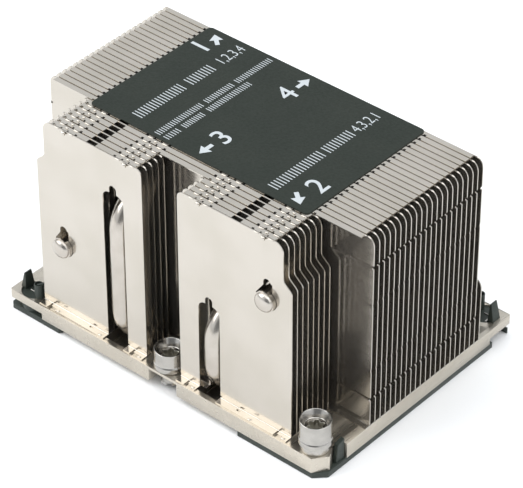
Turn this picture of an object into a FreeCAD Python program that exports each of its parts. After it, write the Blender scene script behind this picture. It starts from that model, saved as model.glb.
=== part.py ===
import FreeCAD, Part
import math
import os

from FreeCAD import Vector

# Passive 2U heatsink for a narrow server processor socket, in millimetres.
# X runs along the long side, Y across the stack of fins, Z up.
# The origin is at the middle of the footprint, on the plane the processor carrier stands on.

# ---- overall sizes -------------------------------------------------------------------------
base_length = 108.0
base_width = 78.0
base_thickness = 4.6
heatsink_height = 64.5         # base underside to the top of the instruction plate
carrier_thickness = 1.8        # plastic frame under the base

# ---- folded fins ---------------------------------------------------------------------------
sheet_thickness = 0.4
foot_setback = 0.6             # free edge of the first foot to the edge of the base
foot_length = 2.0              # foot of the first fin, which has no neighbour to meet
far_setback = 1.56             # last sheet to the far edge of the base
wing_row_count = 8             # tall rows with short ends, nearest the near edge
tall_row_count = 22            # tall rows as long as the base
low_row_count = 7
notched_row_count = 5          # outer rows of each side, split over the middle nut
long_low_row_count = 1         # low rows that keep their full end
low_fin_height = 20.0          # the low fins behind the tall ones
fin_corner_radius = 2.8
notch_corner_radius = 2.0
corner_flat_count = 3          # flats that stand for the round corner of a sheet
end_room_nut = 12.0            # wings stop this far from the base end that has a corner nut
end_room_post = 10.3           # and this far from the end that has a carrier post
shoulder_height = 45.6         # where the wing ends step in, above the base
shoulder_rise = 3.4
shoulder_depth = 2.8
window_width = 2.8             # square windows in the top folds of the wings
window_offset = 24.4
driver_room_wide = 6.7         # notch over each middle nut, to both sides of its axis
driver_room_narrow = 5.2

# ---- heat pipes ----------------------------------------------------------------------------
pipe_radius = 3.0
pipe_bend_radius = 10.0
upper_bend_turn_count = 4      # small turns that make up each quarter bend
lower_bend_turn_count = 3
pipe_flat_count = 16           # flats round the section of a pipe
inner_hole_flat_count = 6      # and round its holes in the rows that cannot be seen
pressed_flat_count = 4         # and round each side of its pressed arm
pipe_fit = 0.05                # solder film in holes and grooves
pipe_leg_inset = 2.5           # leg axis behind the face of the outermost fin it stands in
pipe_leg_far_inset = 3.2
pipe_stud = 2.6                # closed pipe end standing out of the fin stack
pipe_flat_height = 3.4         # pressed section in the base
pipe_flat_width = 7.8
pipe_press_length = 2.0        # length over which the round and the pressed section overlap
pipe_nose = 1.5                # tapered tip of the closed end
pipe_sink = 0.8                # round bend ends this far below the top of the base
pipe_tail = 2.0                # end of the pressed arm inside the far or near fin face
slot_clearance = 0.55          # each side of a pipe leg
lobe_radius = 1.2              # solder lobe above each pipe hole
lobe_lift = 5.2
lobe_bevel = 0.6               # flat that stands for the round top of a lobe
slot_shoulder = 2.3            # flats that stand for the round top of a leg slot
slot_bevel = 0.77
pipe_1_inset = 18.7            # arm behind the end of the base
pipe_4_inset = 19.9
pipe_2_offset = 17.05          # arm beside the middle of the base
pipe_3_offset = 14.9
pipe_1_rise = 21.9             # upper arm above the top of the base
pipe_2_rise = 44.2
pipe_3_rise = 25.1
pipe_4_rise = 40.4

# ---- captive nuts --------------------------------------------------------------------------
nut_row_inset = 4.3            # nut axes inside the long sides of the base
corner_nut_inset = 5.4         # and inside its ends
middle_nut_x = 0.3
nut_radius = 4.25
nut_head_height = 5.8
nut_flat_count = 24            # flats round the head
nut_cup_wall = 0.3
nut_cup_floor_radius = 2.9
nut_cup_depth = 2.2
socket_lobe_count = 6
nut_socket_radius = 2.5
nut_socket_waist = 1.75
nut_socket_depth = 2.4
nut_shank_radius = 2.3
nut_shank_length = 5.1
nut_flare_radius = 2.65        # end flared below the base so that the nut stays with it
nut_flare_length = 0.5
nut_bore_radius = 1.6
nut_bore_depth = 6.0
nut_fit = 0.08                 # running clearance of the shank
nut_seat_gap = 0.1
sleeve_radius = 3.8
sleeve_height = 3.4
sleeve_fit = 0.3

# ---- base plate ----------------------------------------------------------------------------
corner_chamfer_x = 3.2
corner_chamfer_y = 3.8
corner_pad_y = 6.7             # length of the corner pad along the end, up to the latch notch
corner_pad_in = 1.8
corner_pad_slant = 0.3
plain_corner_radius = 0.6
latch_notch_depth = 2.3
latch_notch_width = 3.5
thin_corner_x = 11.5           # relieved undersides round the carrier posts
thin_corner_y = 8.8
thin_corner_depth = 1.9
nut_web = 0.8                  # metal left over the recesses under the nuts
recess_half_width = 4.8
recess_shift = 1.1
recess_depth_y = 9.0
counterbore_radius = 3.2

# ---- processor carrier ---------------------------------------------------------------------
carrier_setback = 0.8          # carrier edge inside the long sides of the base
carrier_end_setback = 0.2
carrier_end_width = 14.0       # window edge inside the ends of the base
carrier_side_width = 10.5      # and inside its long sides
carrier_waist = 7.0            # long sides step in between the corners, clear of the middle nuts
carrier_step_post = 18.0       # length of the full-width corner with a post
carrier_step_nut = 28.0        # and of the one with a nut
carrier_stud_hole = 2.6
post_inset_x = 5.6             # post axes inside the ends of the base
post_inset_y = 4.8             # and inside its long sides
post_radius = 4.4
post_flat_count = 16
post_wall = 1.2
post_collar_height = 4.6       # above the top of the base
post_prong_height = 7.4
post_slit = 1.6
post_clearance = 0.35
latch_thickness = 1.2
latch_bevel_width = 0.6
latch_bevel_height = 0.8
latch_clearance = 0.3
latch_height = 1.6             # above the top of the base

# ---- instruction plate ---------------------------------------------------------------------
plate_thickness = 0.3
plate_left_inset = 17.4        # its edges inside the ends of the base
plate_right_inset = 18.2
plate_near_inset = 15.6        # and inside its long sides
plate_far_inset = 16.1
plate_corner = 0.8             # corners cut off where the real ones are rounded

# ---- derived places ------------------------------------------------------------------------
half_length = base_length / 2
half_width = base_width / 2
base_bottom = carrier_thickness
base_top = base_bottom + base_thickness
tall_top = base_bottom + heatsink_height - plate_thickness
low_top = base_top + low_fin_height
row_count = wing_row_count + tall_row_count + low_row_count
first_fin_y = -half_width + foot_setback + foot_length
last_fin_y = half_width - far_setback - sheet_thickness
fin_pitch = (last_fin_y - first_fin_y) / (row_count - 1)
fold_reach = fin_pitch - sheet_thickness
nut_row_y = half_width - nut_row_inset
corner_nut_x = half_length - corner_nut_inset
post_x = half_length - post_inset_x
post_y = half_width - post_inset_y
pipe_1_x = -half_length + pipe_1_inset
pipe_4_x = half_length - pipe_4_inset
pipe_flat_axis = base_top - pipe_flat_height / 2
pipe_low_axis = base_top - pipe_sink
slot_half = pipe_radius + slot_clearance
hole_radius = pipe_radius + pipe_fit
margin = 1.0                   # how far cutting shapes run past what they cut
same_place = 1e-6              # points nearer than this are one
along_x = Vector(1, 0, 0)
along_y = Vector(0, 1, 0)
along_z = Vector(0, 0, 1)


def box(x0, x1, y0, y1, z0, z1):
    """Block between two corners."""
    return Part.makeBox(x1 - x0, y1 - y0, z1 - z0, Vector(x0, y0, z0))


def corner_arc(before, at, after, radius):
    """Tangent points and middle point of the arc that rounds one corner of an outline."""
    into = (before - at).normalize()
    out = (after - at).normalize()
    half_angle = into.getAngle(out) / 2
    reach = radius / math.tan(half_angle)
    bisector = (into + out).normalize()
    centre = at + bisector * (radius / math.sin(half_angle))
    return at + into * reach, centre - bisector * radius, at + out * reach


def outline(corners, plane_point, plane_axes):
    """Closed wire through corners (u, v, radius), each corner rounded by its own radius."""
    first_axis, second_axis = plane_axes
    points = [plane_point + first_axis * u + second_axis * v for u, v, _ in corners]
    radii = [radius for _, _, radius in corners]
    edges = []
    last_end = None
    first_start = None
    for index, point in enumerate(points):
        before = points[index - 1]
        after = points[(index + 1) % len(points)]
        start, end = point, point
        arc = None
        if radii[index] > 0:
            start, middle, end = corner_arc(before, point, after, radii[index])
            arc = Part.Arc(start, middle, end).toShape()
        if last_end is not None and start.distanceToPoint(last_end) > same_place:
            edges.append(Part.makeLine(last_end, start))
        if arc is not None:
            edges.append(arc)
        if first_start is None:
            first_start = start
        last_end = end
    edges.append(Part.makeLine(last_end, first_start))
    return Part.Wire(edges)


def upright_prism(corners, y0, y1):
    """Outline in X and Z, carried along Y from y0 to y1."""
    wire = outline(corners, Vector(0, y0, 0), (along_x, along_z))
    return Part.Face(wire).extrude(Vector(0, y1 - y0, 0))


def flat_prism(corners, z0, z1):
    """Outline in X and Y, carried up from z0 to z1."""
    wire = outline(corners, Vector(0, 0, z0), (along_x, along_y))
    return Part.Face(wire).extrude(Vector(0, 0, z1 - z0))


def post_cylinder(radius, x, y, z0, z1):
    """Upright round bar."""
    return Part.makeCylinder(radius, z1 - z0, Vector(x, y, z0))


def ring_of_flats(radius, sides, centre, first_axis, second_axis):
    """Closed ring of equal flats, each touching the circle of the given radius."""
    reach = radius / math.cos(math.pi / sides)
    turns = [2 * math.pi * (k + 0.5) / sides for k in range(sides)]
    points = [centre + first_axis * (reach * math.cos(t)) + second_axis * (reach * math.sin(t))
              for t in turns]
    return Part.makePolygon(points + points[:1])


def flat_sided_post(radius, sides, x, y, z0, z1):
    """Upright bar with many flats."""
    ring = ring_of_flats(radius, sides, Vector(x, y, z0), along_x, along_y)
    return Part.Face(ring).extrude(along_z * (z1 - z0))


def frustum(low_ring, high_ring):
    """Closed solid between two coaxial rings with the same number of flats."""
    low = [vertex.Point for vertex in low_ring.OrderedVertexes]
    high = [vertex.Point for vertex in high_ring.OrderedVertexes]
    faces = [Part.Face(low_ring), Part.Face(high_ring)]
    for k, corner in enumerate(low):
        after = (k + 1) % len(low)
        faces.append(Part.Face(Part.makePolygon([corner, low[after], high[after], high[k], corner])))
    return Part.Solid(Part.Shell(faces))


def level_ring(radius, x, y, z):
    """Level ring of flats on the axis of a nut."""
    return ring_of_flats(radius, nut_flat_count, Vector(x, y, z), along_x, along_y)


def half_turn(shape):
    """The same shape on the opposite corner of the heatsink."""
    turned = shape.copy()
    turned.rotate(Vector(0, 0, 0), along_z, 180)
    return turned


def fused(first, others):
    """One clean solid out of touching or overlapping shapes."""
    return first.fuse(others).removeSplitter()


# ---- heat pipes ----------------------------------------------------------------------------

class PipeRoute:
    """One C-shaped pipe: a pressed arm in the base, a leg, and an arm through the fins."""

    def __init__(self, x, rise, near_bend):
        self.x = x
        self.arm_z = base_top + rise
        self.near_bend = near_bend
        near_face = first_fin_y
        far_face = tall_rows[-1].back
        # direction in which both arms leave the leg
        self.run = 1 if near_bend else -1
        if near_bend:
            self.leg_y = near_face + pipe_leg_inset
            self.stud_y = far_face + pipe_stud
            self.tail_y = far_face - pipe_tail
        else:
            self.leg_y = far_face - pipe_leg_far_inset
            self.stud_y = near_face - pipe_stud
            self.tail_y = near_face + pipe_tail
        self.bend_y = self.leg_y + self.run * pipe_bend_radius
        self.flat_y = self.bend_y + self.run * pipe_press_length

    def bend_points(self, arm_z, toward, turns):
        """Corners of the quarter bend from the leg to an arm; the leg lies toward (+1 up, -1 down)."""
        small = math.pi / 4 / turns
        reach = pipe_bend_radius / math.cos(small)
        centre_z = arm_z + toward * pipe_bend_radius
        angles = [small * (2 * k + 1) for k in range(turns)]
        return [Vector(self.x, self.bend_y - self.run * reach * math.cos(a),
                       centre_z - toward * reach * math.sin(a)) for a in angles]

    def ring(self, centre, radius):
        """Section of the round pipe standing across Y."""
        return ring_of_flats(radius, pipe_flat_count, centre, along_x, along_z)

    def round_part(self):
        """Round pipe from the top of the base up the leg and along the upper arm."""
        low_start = Vector(self.x, self.flat_y, pipe_low_axis)
        low_bend = self.bend_points(pipe_low_axis, 1, lower_bend_turn_count)
        high_bend = self.bend_points(self.arm_z, -1, upper_bend_turn_count)
        nose_start = Vector(self.x, self.stud_y - self.run * pipe_nose, self.arm_z)
        path = Part.makePolygon([low_start] + low_bend[::-1] + high_bend + [nose_start])
        ring = self.ring(low_start, pipe_radius)
        return path.makePipeShell([ring], True, False, 1), nose_start

    def pressed_face(self, y):
        """Pressed section: a flat oval with round sides."""
        radius = pipe_flat_height / 2
        half_flat = pipe_flat_width / 2 - radius
        small = math.pi / 2 / pressed_flat_count
        reach = radius / math.cos(small)
        corners = []
        for side in (1, -1):
            for flat in range(pressed_flat_count):
                turn = small * (2 * flat + 1) - math.pi / 2
                across = side * (half_flat + reach * math.cos(turn))
                up = side * reach * math.sin(turn)
                corners.append((self.x + across, pipe_flat_axis + up, 0))
        return Part.Face(outline(corners, Vector(0, y, 0), (along_x, along_z)))

    def solid(self):
        """The whole closed pipe."""
        round_part, nose_start = self.round_part()
        tip = self.ring(nose_start + along_y * (self.run * pipe_nose), pipe_radius - pipe_nose)
        nose = frustum(self.ring(nose_start, pipe_radius), tip)
        pressed_start = self.flat_y - self.run * pipe_press_length
        pressed = self.pressed_face(pressed_start).extrude(Vector(0, self.tail_y - pressed_start, 0))
        return fused(round_part, [nose, pressed])

    def groove(self):
        """Room in the base for the pressed arm and, deeper, for the lower bend."""
        half = pipe_flat_width / 2 + pipe_fit
        tail = self.tail_y + self.run * pipe_fit
        leg_side = self.leg_y - self.run * slot_half
        channel = box(self.x - half, self.x + half, min(leg_side, tail), max(leg_side, tail),
                      base_top - pipe_flat_height, base_top + margin)
        deep_end = self.flat_y + self.run * pipe_fit
        pocket = box(self.x - slot_half, self.x + slot_half, min(leg_side, deep_end),
                     max(leg_side, deep_end), pipe_low_axis - pipe_radius - pipe_fit,
                     base_top + margin)
        return [channel, pocket]

    def stands_in(self, row):
        """Whether this row of fins needs a tall slot instead of a hole."""
        if self.near_bend:
            return row.front - fold_reach < self.flat_y
        return row.back > self.flat_y and row.back < tall_rows[-1].back + pipe_fit

    def crosses(self, row):
        """Whether the upper arm passes through this row."""
        if row.top < self.arm_z + pipe_radius:
            return False
        return not self.stands_in(row)


# ---- rows of fins --------------------------------------------------------------------------

def round_by_flats(x, z, radius, inward):
    """Round top corner at (x, z) as a few flats that touch the true arc, from its foot upwards."""
    small = math.pi / 4 / corner_flat_count
    reach = radius / math.cos(small)
    turns = [small * (2 * k + 1) for k in range(corner_flat_count)]
    return [(x + inward * (radius - reach * math.cos(t)), z - radius + reach * math.sin(t), 0)
            for t in turns]


class Row:
    """One row of the stack: where its sheet stands, how high it is and where it ends."""

    def __init__(self, number):
        self.number = number
        self.front = first_fin_y + (number - 1) * fin_pitch
        self.back = self.front + sheet_thickness
        self.fold_edge = self.front - (foot_length if number == 1 else fold_reach)
        self.near = number <= wing_row_count
        self.low = number > wing_row_count + tall_row_count
        self.tall = not self.near and not self.low
        self.top = low_top if self.low else tall_top

    def stretches(self):
        """Left and right limits of each piece of sheet in the row, with its name."""
        name = f"fin_{self.number:02d}"
        if self.tall:
            return [(name, -half_length, half_length)]
        if self.near:
            left = -half_length + end_room_post
            right = half_length - end_room_nut
            notched = self.number <= notched_row_count
            notch_left = -middle_nut_x - driver_room_wide
            notch_right = -middle_nut_x + driver_room_narrow
        else:
            left = -half_length + end_room_nut
            right = half_length
            if self.number > wing_row_count + tall_row_count + long_low_row_count:
                right = half_length - end_room_post
            notched = self.number > row_count - notched_row_count
            notch_left = middle_nut_x - driver_room_narrow
            notch_right = middle_nut_x + driver_room_wide
        if not notched:
            return [(name, left, right)]
        return [(name + "_left", left, notch_left), (name + "_right", notch_right, right)]

    def corners(self, left, right):
        """Outline of the sheet: round top corners, and stepped ends on the wings."""
        step_z = base_top + shoulder_height
        left_radius = fin_corner_radius
        right_radius = fin_corner_radius
        left_side = [(left, base_top, 0)]
        right_side = [(right, base_top, 0)]
        if self.near and left < 0:
            left_side.append((left, step_z, 0))
            left += shoulder_depth
            left_side.append((left, step_z + shoulder_rise, 0))
        elif not self.tall and left > -half_length + end_room_nut:
            left_radius = notch_corner_radius
        if self.near and right >= half_length - end_room_nut:
            right_side.append((right, step_z, 0))
            right -= shoulder_depth
            right_side.append((right, step_z + shoulder_rise, 0))
        elif not self.tall and right < half_length - end_room_nut:
            right_radius = notch_corner_radius
        left_side += round_by_flats(left, self.top, left_radius, 1)
        right_side += round_by_flats(right, self.top, right_radius, -1)
        return left_side + right_side[::-1], left + left_radius, right - right_radius


def pipe_hole(pipe, row, true_form):
    """Cutter for the upper arm: keyhole with a solder lobe, or six flats on the inner rows."""
    flats = pipe_flat_count if true_form else inner_hole_flat_count
    ring = ring_of_flats(hole_radius, flats, Vector(pipe.x, row.front - margin, pipe.arm_z),
                         along_x, along_z)
    round_hole = Part.Face(ring).extrude(along_y * (sheet_thickness + 2 * margin))
    if not true_form:
        return round_hole
    top = pipe.arm_z + lobe_lift + lobe_radius
    x0, x1 = pipe.x - lobe_radius, pipe.x + lobe_radius
    lobe = upright_prism([(x0, pipe.arm_z, 0), (x0, top - lobe_radius, 0),
                          (x0 + lobe_bevel, top, 0), (x1 - lobe_bevel, top, 0),
                          (x1, top - lobe_radius, 0), (x1, pipe.arm_z, 0)],
                         row.front - margin, row.back + margin)
    return round_hole.fuse(lobe)


def leg_slot(pipe, row, true_form):
    """Cutter for a pipe leg and its bends: open at the foot, shouldered, with a lobe on top."""
    top = pipe.arm_z + slot_half
    x0, x1 = pipe.x - slot_half, pipe.x + slot_half
    if not true_form:
        return box(x0, x1, row.fold_edge - margin, row.back + margin, base_top - margin, top)
    lobe_top = top + 2 * lobe_radius
    lobe_x0, lobe_x1 = pipe.x - lobe_radius, pipe.x + lobe_radius
    corners = [(x0, base_top - margin, 0), (x0, top - slot_shoulder, 0),
               (x0 + slot_bevel, top - slot_bevel, 0), (lobe_x0, top, 0),
               (lobe_x0, lobe_top - lobe_radius, 0), (lobe_x0 + lobe_bevel, lobe_top, 0),
               (lobe_x1 - lobe_bevel, lobe_top, 0), (lobe_x1, lobe_top - lobe_radius, 0),
               (lobe_x1, top, 0), (x1 - slot_bevel, top - slot_bevel, 0),
               (x1, top - slot_shoulder, 0), (x1, base_top - margin, 0)]
    return upright_prism(corners, row.fold_edge - margin, row.back + margin)


def fin_solid(row, left, right):
    """One folded sheet: upright web, foot and, apart from the first row, a top fold."""
    corners, fold_left, fold_right = row.corners(left, right)
    web = upright_prism(corners, row.front, row.back)
    foot = box(left, right, row.fold_edge, row.front, base_top, base_top + sheet_thickness)
    folds = [foot]
    if row.number > 1:
        folds.append(box(fold_left, fold_right, row.fold_edge, row.front,
                         row.top - sheet_thickness, row.top))
    sheet = web.fuse(folds)
    cutters = []
    true_form = row.number == 1 or row.number == tall_rows[-1].number
    for pipe in pipes:
        if left < pipe.x < right:
            if pipe.stands_in(row):
                cutters.append(leg_slot(pipe, row, true_form))
            elif pipe.crosses(row):
                cutters.append(pipe_hole(pipe, row, true_form))
    if row.near and row.number > 1:
        for middle in (-window_offset, window_offset - 2 * middle_nut_x):
            if fold_left < middle < fold_right:
                cutters.append(box(middle - window_width / 2, middle + window_width / 2,
                                   row.fold_edge - margin, row.front,
                                   row.top - sheet_thickness - margin, row.top + margin))
    if cutters:
        sheet = sheet.cut(cutters)
    return sheet.removeSplitter()


# ---- base plate ----------------------------------------------------------------------------

def base_outline():
    """Plan of the base: two chamfered nut corners, each followed by a notch for a latch."""
    nut_corner = [(half_length - corner_chamfer_x, -half_width, 0),
                  (half_length - corner_pad_slant, -half_width + corner_chamfer_y, 0),
                  (half_length - corner_pad_in, -half_width + corner_pad_y, 0),
                  (half_length - latch_notch_depth, -half_width + corner_pad_y, 0),
                  (half_length - latch_notch_depth,
                   -half_width + corner_pad_y + latch_notch_width, 0),
                  (half_length, -half_width + corner_pad_y + latch_notch_width, 0)]
    plain_corner = [(-half_length, -half_width, plain_corner_radius)]
    turned = [(-x, -y, r) for x, y, r in plain_corner + nut_corner]
    return plain_corner + nut_corner + turned


def base_plate():
    """Machined base with pipe grooves on top and reliefs underneath."""
    plate = flat_prism(base_outline(), base_bottom, base_top)
    cutters = []
    for pipe in pipes:
        cutters += pipe.groove()
    corner_relief = box(-half_length - margin, -half_length + thin_corner_x, -half_width - margin,
                        -half_width + thin_corner_y, base_bottom - margin,
                        base_bottom + thin_corner_depth)
    recess_x = -middle_nut_x + recess_shift
    recess = flat_prism([(recess_x - recess_half_width, -half_width - margin, 0),
                         (recess_x + recess_half_width, -half_width - margin, 0),
                         (recess_x + recess_half_width, -half_width + recess_depth_y, 0),
                         (recess_x - recess_half_width, -half_width + recess_depth_y, 0)],
                        base_bottom - margin, base_top - nut_web)
    counterbore = flat_sided_post(counterbore_radius, post_flat_count, corner_nut_x, -nut_row_y,
                                  base_bottom - margin, base_top - nut_web)
    post_hole = flat_sided_post(post_radius + post_clearance, post_flat_count, -post_x, -post_y,
                                base_bottom - margin, base_top + margin)
    middle_hole = post_cylinder(nut_shank_radius + nut_fit, -middle_nut_x, -nut_row_y,
                                base_bottom, base_top + margin)
    corner_hole = post_cylinder(nut_shank_radius + nut_fit, corner_nut_x, -nut_row_y,
                                base_bottom, base_top + margin)
    for cutter in (corner_relief, recess, counterbore, post_hole, middle_hole, corner_hole):
        cutters += [cutter, half_turn(cutter)]
    return plate.cut(cutters).removeSplitter()


# ---- captive nuts --------------------------------------------------------------------------

def nut(x, y, seat_z):
    """Cup-headed nut with a six-lobed socket, turned about its own axis."""
    head_bottom = seat_z + nut_seat_gap
    top = head_bottom + nut_head_height
    floor_z = top - nut_cup_depth
    end_z = head_bottom - nut_shank_length
    head = flat_sided_post(nut_radius, nut_flat_count, x, y, head_bottom, top)
    cup = frustum(level_ring(nut_cup_floor_radius, x, y, floor_z),
                  level_ring(nut_radius - nut_cup_wall, x, y, top))
    shank = post_cylinder(nut_shank_radius, x, y, end_z, head_bottom)
    flare = frustum(level_ring(nut_flare_radius, x, y, end_z),
                    level_ring(nut_shank_radius, x, y, end_z + nut_flare_length))
    bore = post_cylinder(nut_bore_radius, x, y, end_z, end_z + nut_bore_depth)
    body = fused(head.cut(cup), [shank, flare]).cut(bore)
    star = []
    for point in range(2 * socket_lobe_count):
        reach = nut_socket_radius if point % 2 == 0 else nut_socket_waist
        turn = math.pi / socket_lobe_count * point
        star.append((x + reach * math.cos(turn), y + reach * math.sin(turn), 0))
    socket = flat_prism(star, floor_z - nut_socket_depth, floor_z + margin)
    return body.cut(socket)


def corner_sleeves():
    """The two plain sleeves that lift the corner nuts."""
    sleeve = flat_sided_post(sleeve_radius, nut_flat_count, corner_nut_x, -nut_row_y, base_top,
                             base_top + sleeve_height)
    bore = flat_sided_post(nut_shank_radius + sleeve_fit, nut_flat_count, corner_nut_x, -nut_row_y,
                           base_top - margin, base_top + sleeve_height + margin)
    sleeve = sleeve.cut(bore)
    return Part.makeCompound([sleeve, half_turn(sleeve)])


# ---- processor carrier ---------------------------------------------------------------------

def carrier_post():
    """Split post that snaps up through a corner of the base: collar and two prongs."""
    x, y = -post_x, -post_y
    collar_top = base_top + post_collar_height
    prong_top = base_top + post_prong_height
    tube = flat_sided_post(post_radius, post_flat_count, x, y, 0, prong_top)
    bore = flat_sided_post(post_radius - post_wall, post_flat_count, x, y, carrier_thickness,
                           prong_top + margin)
    tube = tube.cut(bore)
    slit = box(x - post_slit / 2, x + post_slit / 2, y - post_radius - margin,
               y + post_radius + margin, base_top + post_slit, prong_top + margin)
    low_side = box(x + post_slit / 2, x + post_radius + margin, y - post_radius - margin,
                   y + post_radius + margin, collar_top, prong_top + margin)
    slope = upright_prism([(x - post_radius - margin, prong_top - 2 * post_wall - margin, 0),
                           (x - post_radius - margin, prong_top + margin, 0),
                           (x + margin, prong_top + margin, 0)],
                          y - post_radius - margin, y + post_radius + margin)
    return tube.cut([slit, low_side, slope])


def carrier_latch():
    """Upright latch in the notch of the base end, hooked over its top face."""
    inner = half_length - latch_notch_depth + latch_clearance
    y0 = -half_width + corner_pad_y + latch_clearance
    y1 = y0 + latch_notch_width - 2 * latch_clearance
    top = base_top + latch_height
    return upright_prism([(inner, 0, 0), (inner, top - latch_bevel_height, 0),
                          (inner + latch_bevel_width, top, 0), (inner + latch_thickness, top, 0),
                          (inner + latch_thickness, 0, 0)], y0, y1)


def processor_carrier():
    """Plastic frame round the processor, with its posts and latches."""
    edge_x = half_length - carrier_end_setback
    edge_y = half_width - carrier_setback
    waist_y = edge_y - carrier_waist
    near_side = [(-edge_x, -edge_y, 0), (-edge_x + carrier_step_post, -edge_y, 0),
                 (-edge_x + carrier_step_post, -waist_y, 0), (edge_x - carrier_step_nut, -waist_y, 0),
                 (edge_x - carrier_step_nut, -edge_y, 0), (edge_x - corner_chamfer_x, -edge_y, 0),
                 (edge_x, -edge_y + corner_chamfer_y, 0)]
    plan = near_side + [(-x, -y, r) for x, y, r in near_side]
    frame = flat_prism(plan, 0, carrier_thickness)
    window_x = half_length - carrier_end_width
    window_y = half_width - carrier_side_width
    window = box(-window_x, window_x, -window_y, window_y, -margin, carrier_thickness + margin)
    stud_hole = flat_sided_post(carrier_stud_hole, post_flat_count, corner_nut_x, -nut_row_y, -margin,
                                carrier_thickness + margin)
    frame = frame.cut([window, stud_hole, half_turn(stud_hole)])
    post = carrier_post()
    latch = carrier_latch()
    return fused(frame, [post, half_turn(post), latch, half_turn(latch)])


# ---- instruction plate ---------------------------------------------------------------------

def instruction_plate():
    """Thin printed plate bonded on the top folds."""
    cut = plate_corner
    left = -half_length + plate_left_inset
    right = half_length - plate_right_inset
    near = -half_width + plate_near_inset
    far = half_width - plate_far_inset
    corners = [(left + cut, near, 0), (right - cut, near, 0), (right, near + cut, 0),
               (right, far - cut, 0), (right - cut, far, 0), (left + cut, far, 0),
               (left, far - cut, 0), (left, near + cut, 0)]
    return flat_prism(corners, tall_top, tall_top + plate_thickness)


# ---- build ---------------------------------------------------------------------------------

rows = [Row(number) for number in range(1, row_count + 1)]
tall_rows = [row for row in rows if row.tall]
pipes = [PipeRoute(pipe_1_x, pipe_1_rise, False), PipeRoute(-pipe_2_offset, pipe_2_rise, True),
         PipeRoute(pipe_3_offset, pipe_3_rise, True), PipeRoute(pipe_4_x, pipe_4_rise, False)]

solids = {"base_plate": base_plate(), "processor_carrier": processor_carrier(),
          "instruction_plate": instruction_plate(), "corner_sleeves": corner_sleeves()}
for number, pipe in enumerate(pipes, 1):
    solids[f"heat_pipe_{number}"] = pipe.solid()
for row in rows:
    for name, left, right in row.stretches():
        solids[name] = fin_solid(row, left, right)
sleeve_top = base_top + sleeve_height
solids["captive_nut_1"] = nut(-corner_nut_x, nut_row_y, sleeve_top)
solids["captive_nut_2"] = nut(corner_nut_x, -nut_row_y, sleeve_top)
solids["captive_nut_3"] = nut(-middle_nut_x, -nut_row_y, base_top)
solids["captive_nut_4"] = nut(middle_nut_x, nut_row_y, base_top)

os.makedirs("parts", exist_ok=True)
for name, solid in solids.items():
    solid.exportStep(f"parts/{name}.step")
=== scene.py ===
"""Dressed model of a passive server heatsink: a stack of interlocked folded fins with heat pipes.

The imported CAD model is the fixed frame. Every sub-assembly below is a class that takes its place
from the frame's boxes, builds its meshes as whole numpy arrays, and dresses them in its finish.
Lengths are in millimetres unless a name says otherwise; meshes are written in metres.
"""
import logging
import math
from dataclasses import dataclass, field
from enum import Enum

import bmesh
import bpy
import numpy as np
from mathutils import Matrix, Vector


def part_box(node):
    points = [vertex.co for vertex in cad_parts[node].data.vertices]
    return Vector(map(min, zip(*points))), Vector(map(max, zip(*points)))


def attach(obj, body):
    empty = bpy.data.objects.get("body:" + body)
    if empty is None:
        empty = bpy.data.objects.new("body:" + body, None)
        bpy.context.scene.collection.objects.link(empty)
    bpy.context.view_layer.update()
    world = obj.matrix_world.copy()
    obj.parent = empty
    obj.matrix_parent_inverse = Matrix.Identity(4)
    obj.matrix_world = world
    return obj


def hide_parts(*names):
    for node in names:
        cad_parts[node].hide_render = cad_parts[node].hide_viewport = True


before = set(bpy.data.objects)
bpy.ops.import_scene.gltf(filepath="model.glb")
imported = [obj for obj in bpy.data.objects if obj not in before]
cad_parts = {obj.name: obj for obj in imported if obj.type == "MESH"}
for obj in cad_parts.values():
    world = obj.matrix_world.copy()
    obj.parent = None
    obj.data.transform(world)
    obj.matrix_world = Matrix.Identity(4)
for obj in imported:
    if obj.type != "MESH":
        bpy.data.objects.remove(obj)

LOG = logging.getLogger("heatsink")
MM = 0.001
MERGE_MM = 0.002
POLE_MM = 0.01
TINY_MM = 1e-6
QUARTER = math.pi / 2
ROOT_BODY = "heatsink"
Array = np.ndarray


# ---------------------------------------------------------------- colours and shader nodes

def linear(code: str) -> tuple[float, float, float, float]:
    """Turn an sRGB hex colour into linear light.

    Args:
        code: colour as "#RRGGBB".
    Returns:
        Red, green, blue and alpha for a shader socket.
    """
    srgb = np.array([int(code[i:i + 2], 16) for i in (1, 3, 5)]) / 255
    light = np.where(srgb <= 0.04045, srgb / 12.92, ((srgb + 0.055) / 1.055) ** 2.4)
    return (*[float(v) for v in light], 1.0)


def add_node(tree: bpy.types.NodeTree, kind: str, inputs: dict | None = None,
             **settings) -> bpy.types.Node:
    """Add one node with its settings, and fill or link its inputs.

    Args:
        tree: node tree that gets the node.
        kind: Blender's type name of the node.
        inputs: socket name or number to a value, or to an output socket to link.
        settings: properties of the node itself.
    Returns:
        The new node.
    """
    node = tree.nodes.new(kind)
    for name, value in settings.items():
        setattr(node, name, value)
    for name, value in (inputs or {}).items():
        if isinstance(value, bpy.types.NodeSocket):
            tree.links.new(value, node.inputs[name])
        else:
            node.inputs[name].default_value = value
    return node


# ---------------------------------------------------------------- finishes

@dataclass(frozen=True)
class Coat:
    """A built material with the slot of the record that it shows.

    Attributes:
        material: the material.
        slot: the slot, not used.
    """
    material: bpy.types.Material
    slot: str

    def put_on(self, piece: bpy.types.Object, *stands_for: str, body: str = ROOT_BODY) -> None:
        """Give a piece its material, its body and the CAD nodes it stands for.

        Args:
            piece: the new object.
            stands_for: CAD nodes that it replaces.
            body: CAD body it rides on.
        """
        piece.data.materials.clear()
        piece.data.materials.append(self.material)
        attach(piece, body)
        if stands_for:
            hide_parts(*stands_for)


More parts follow.
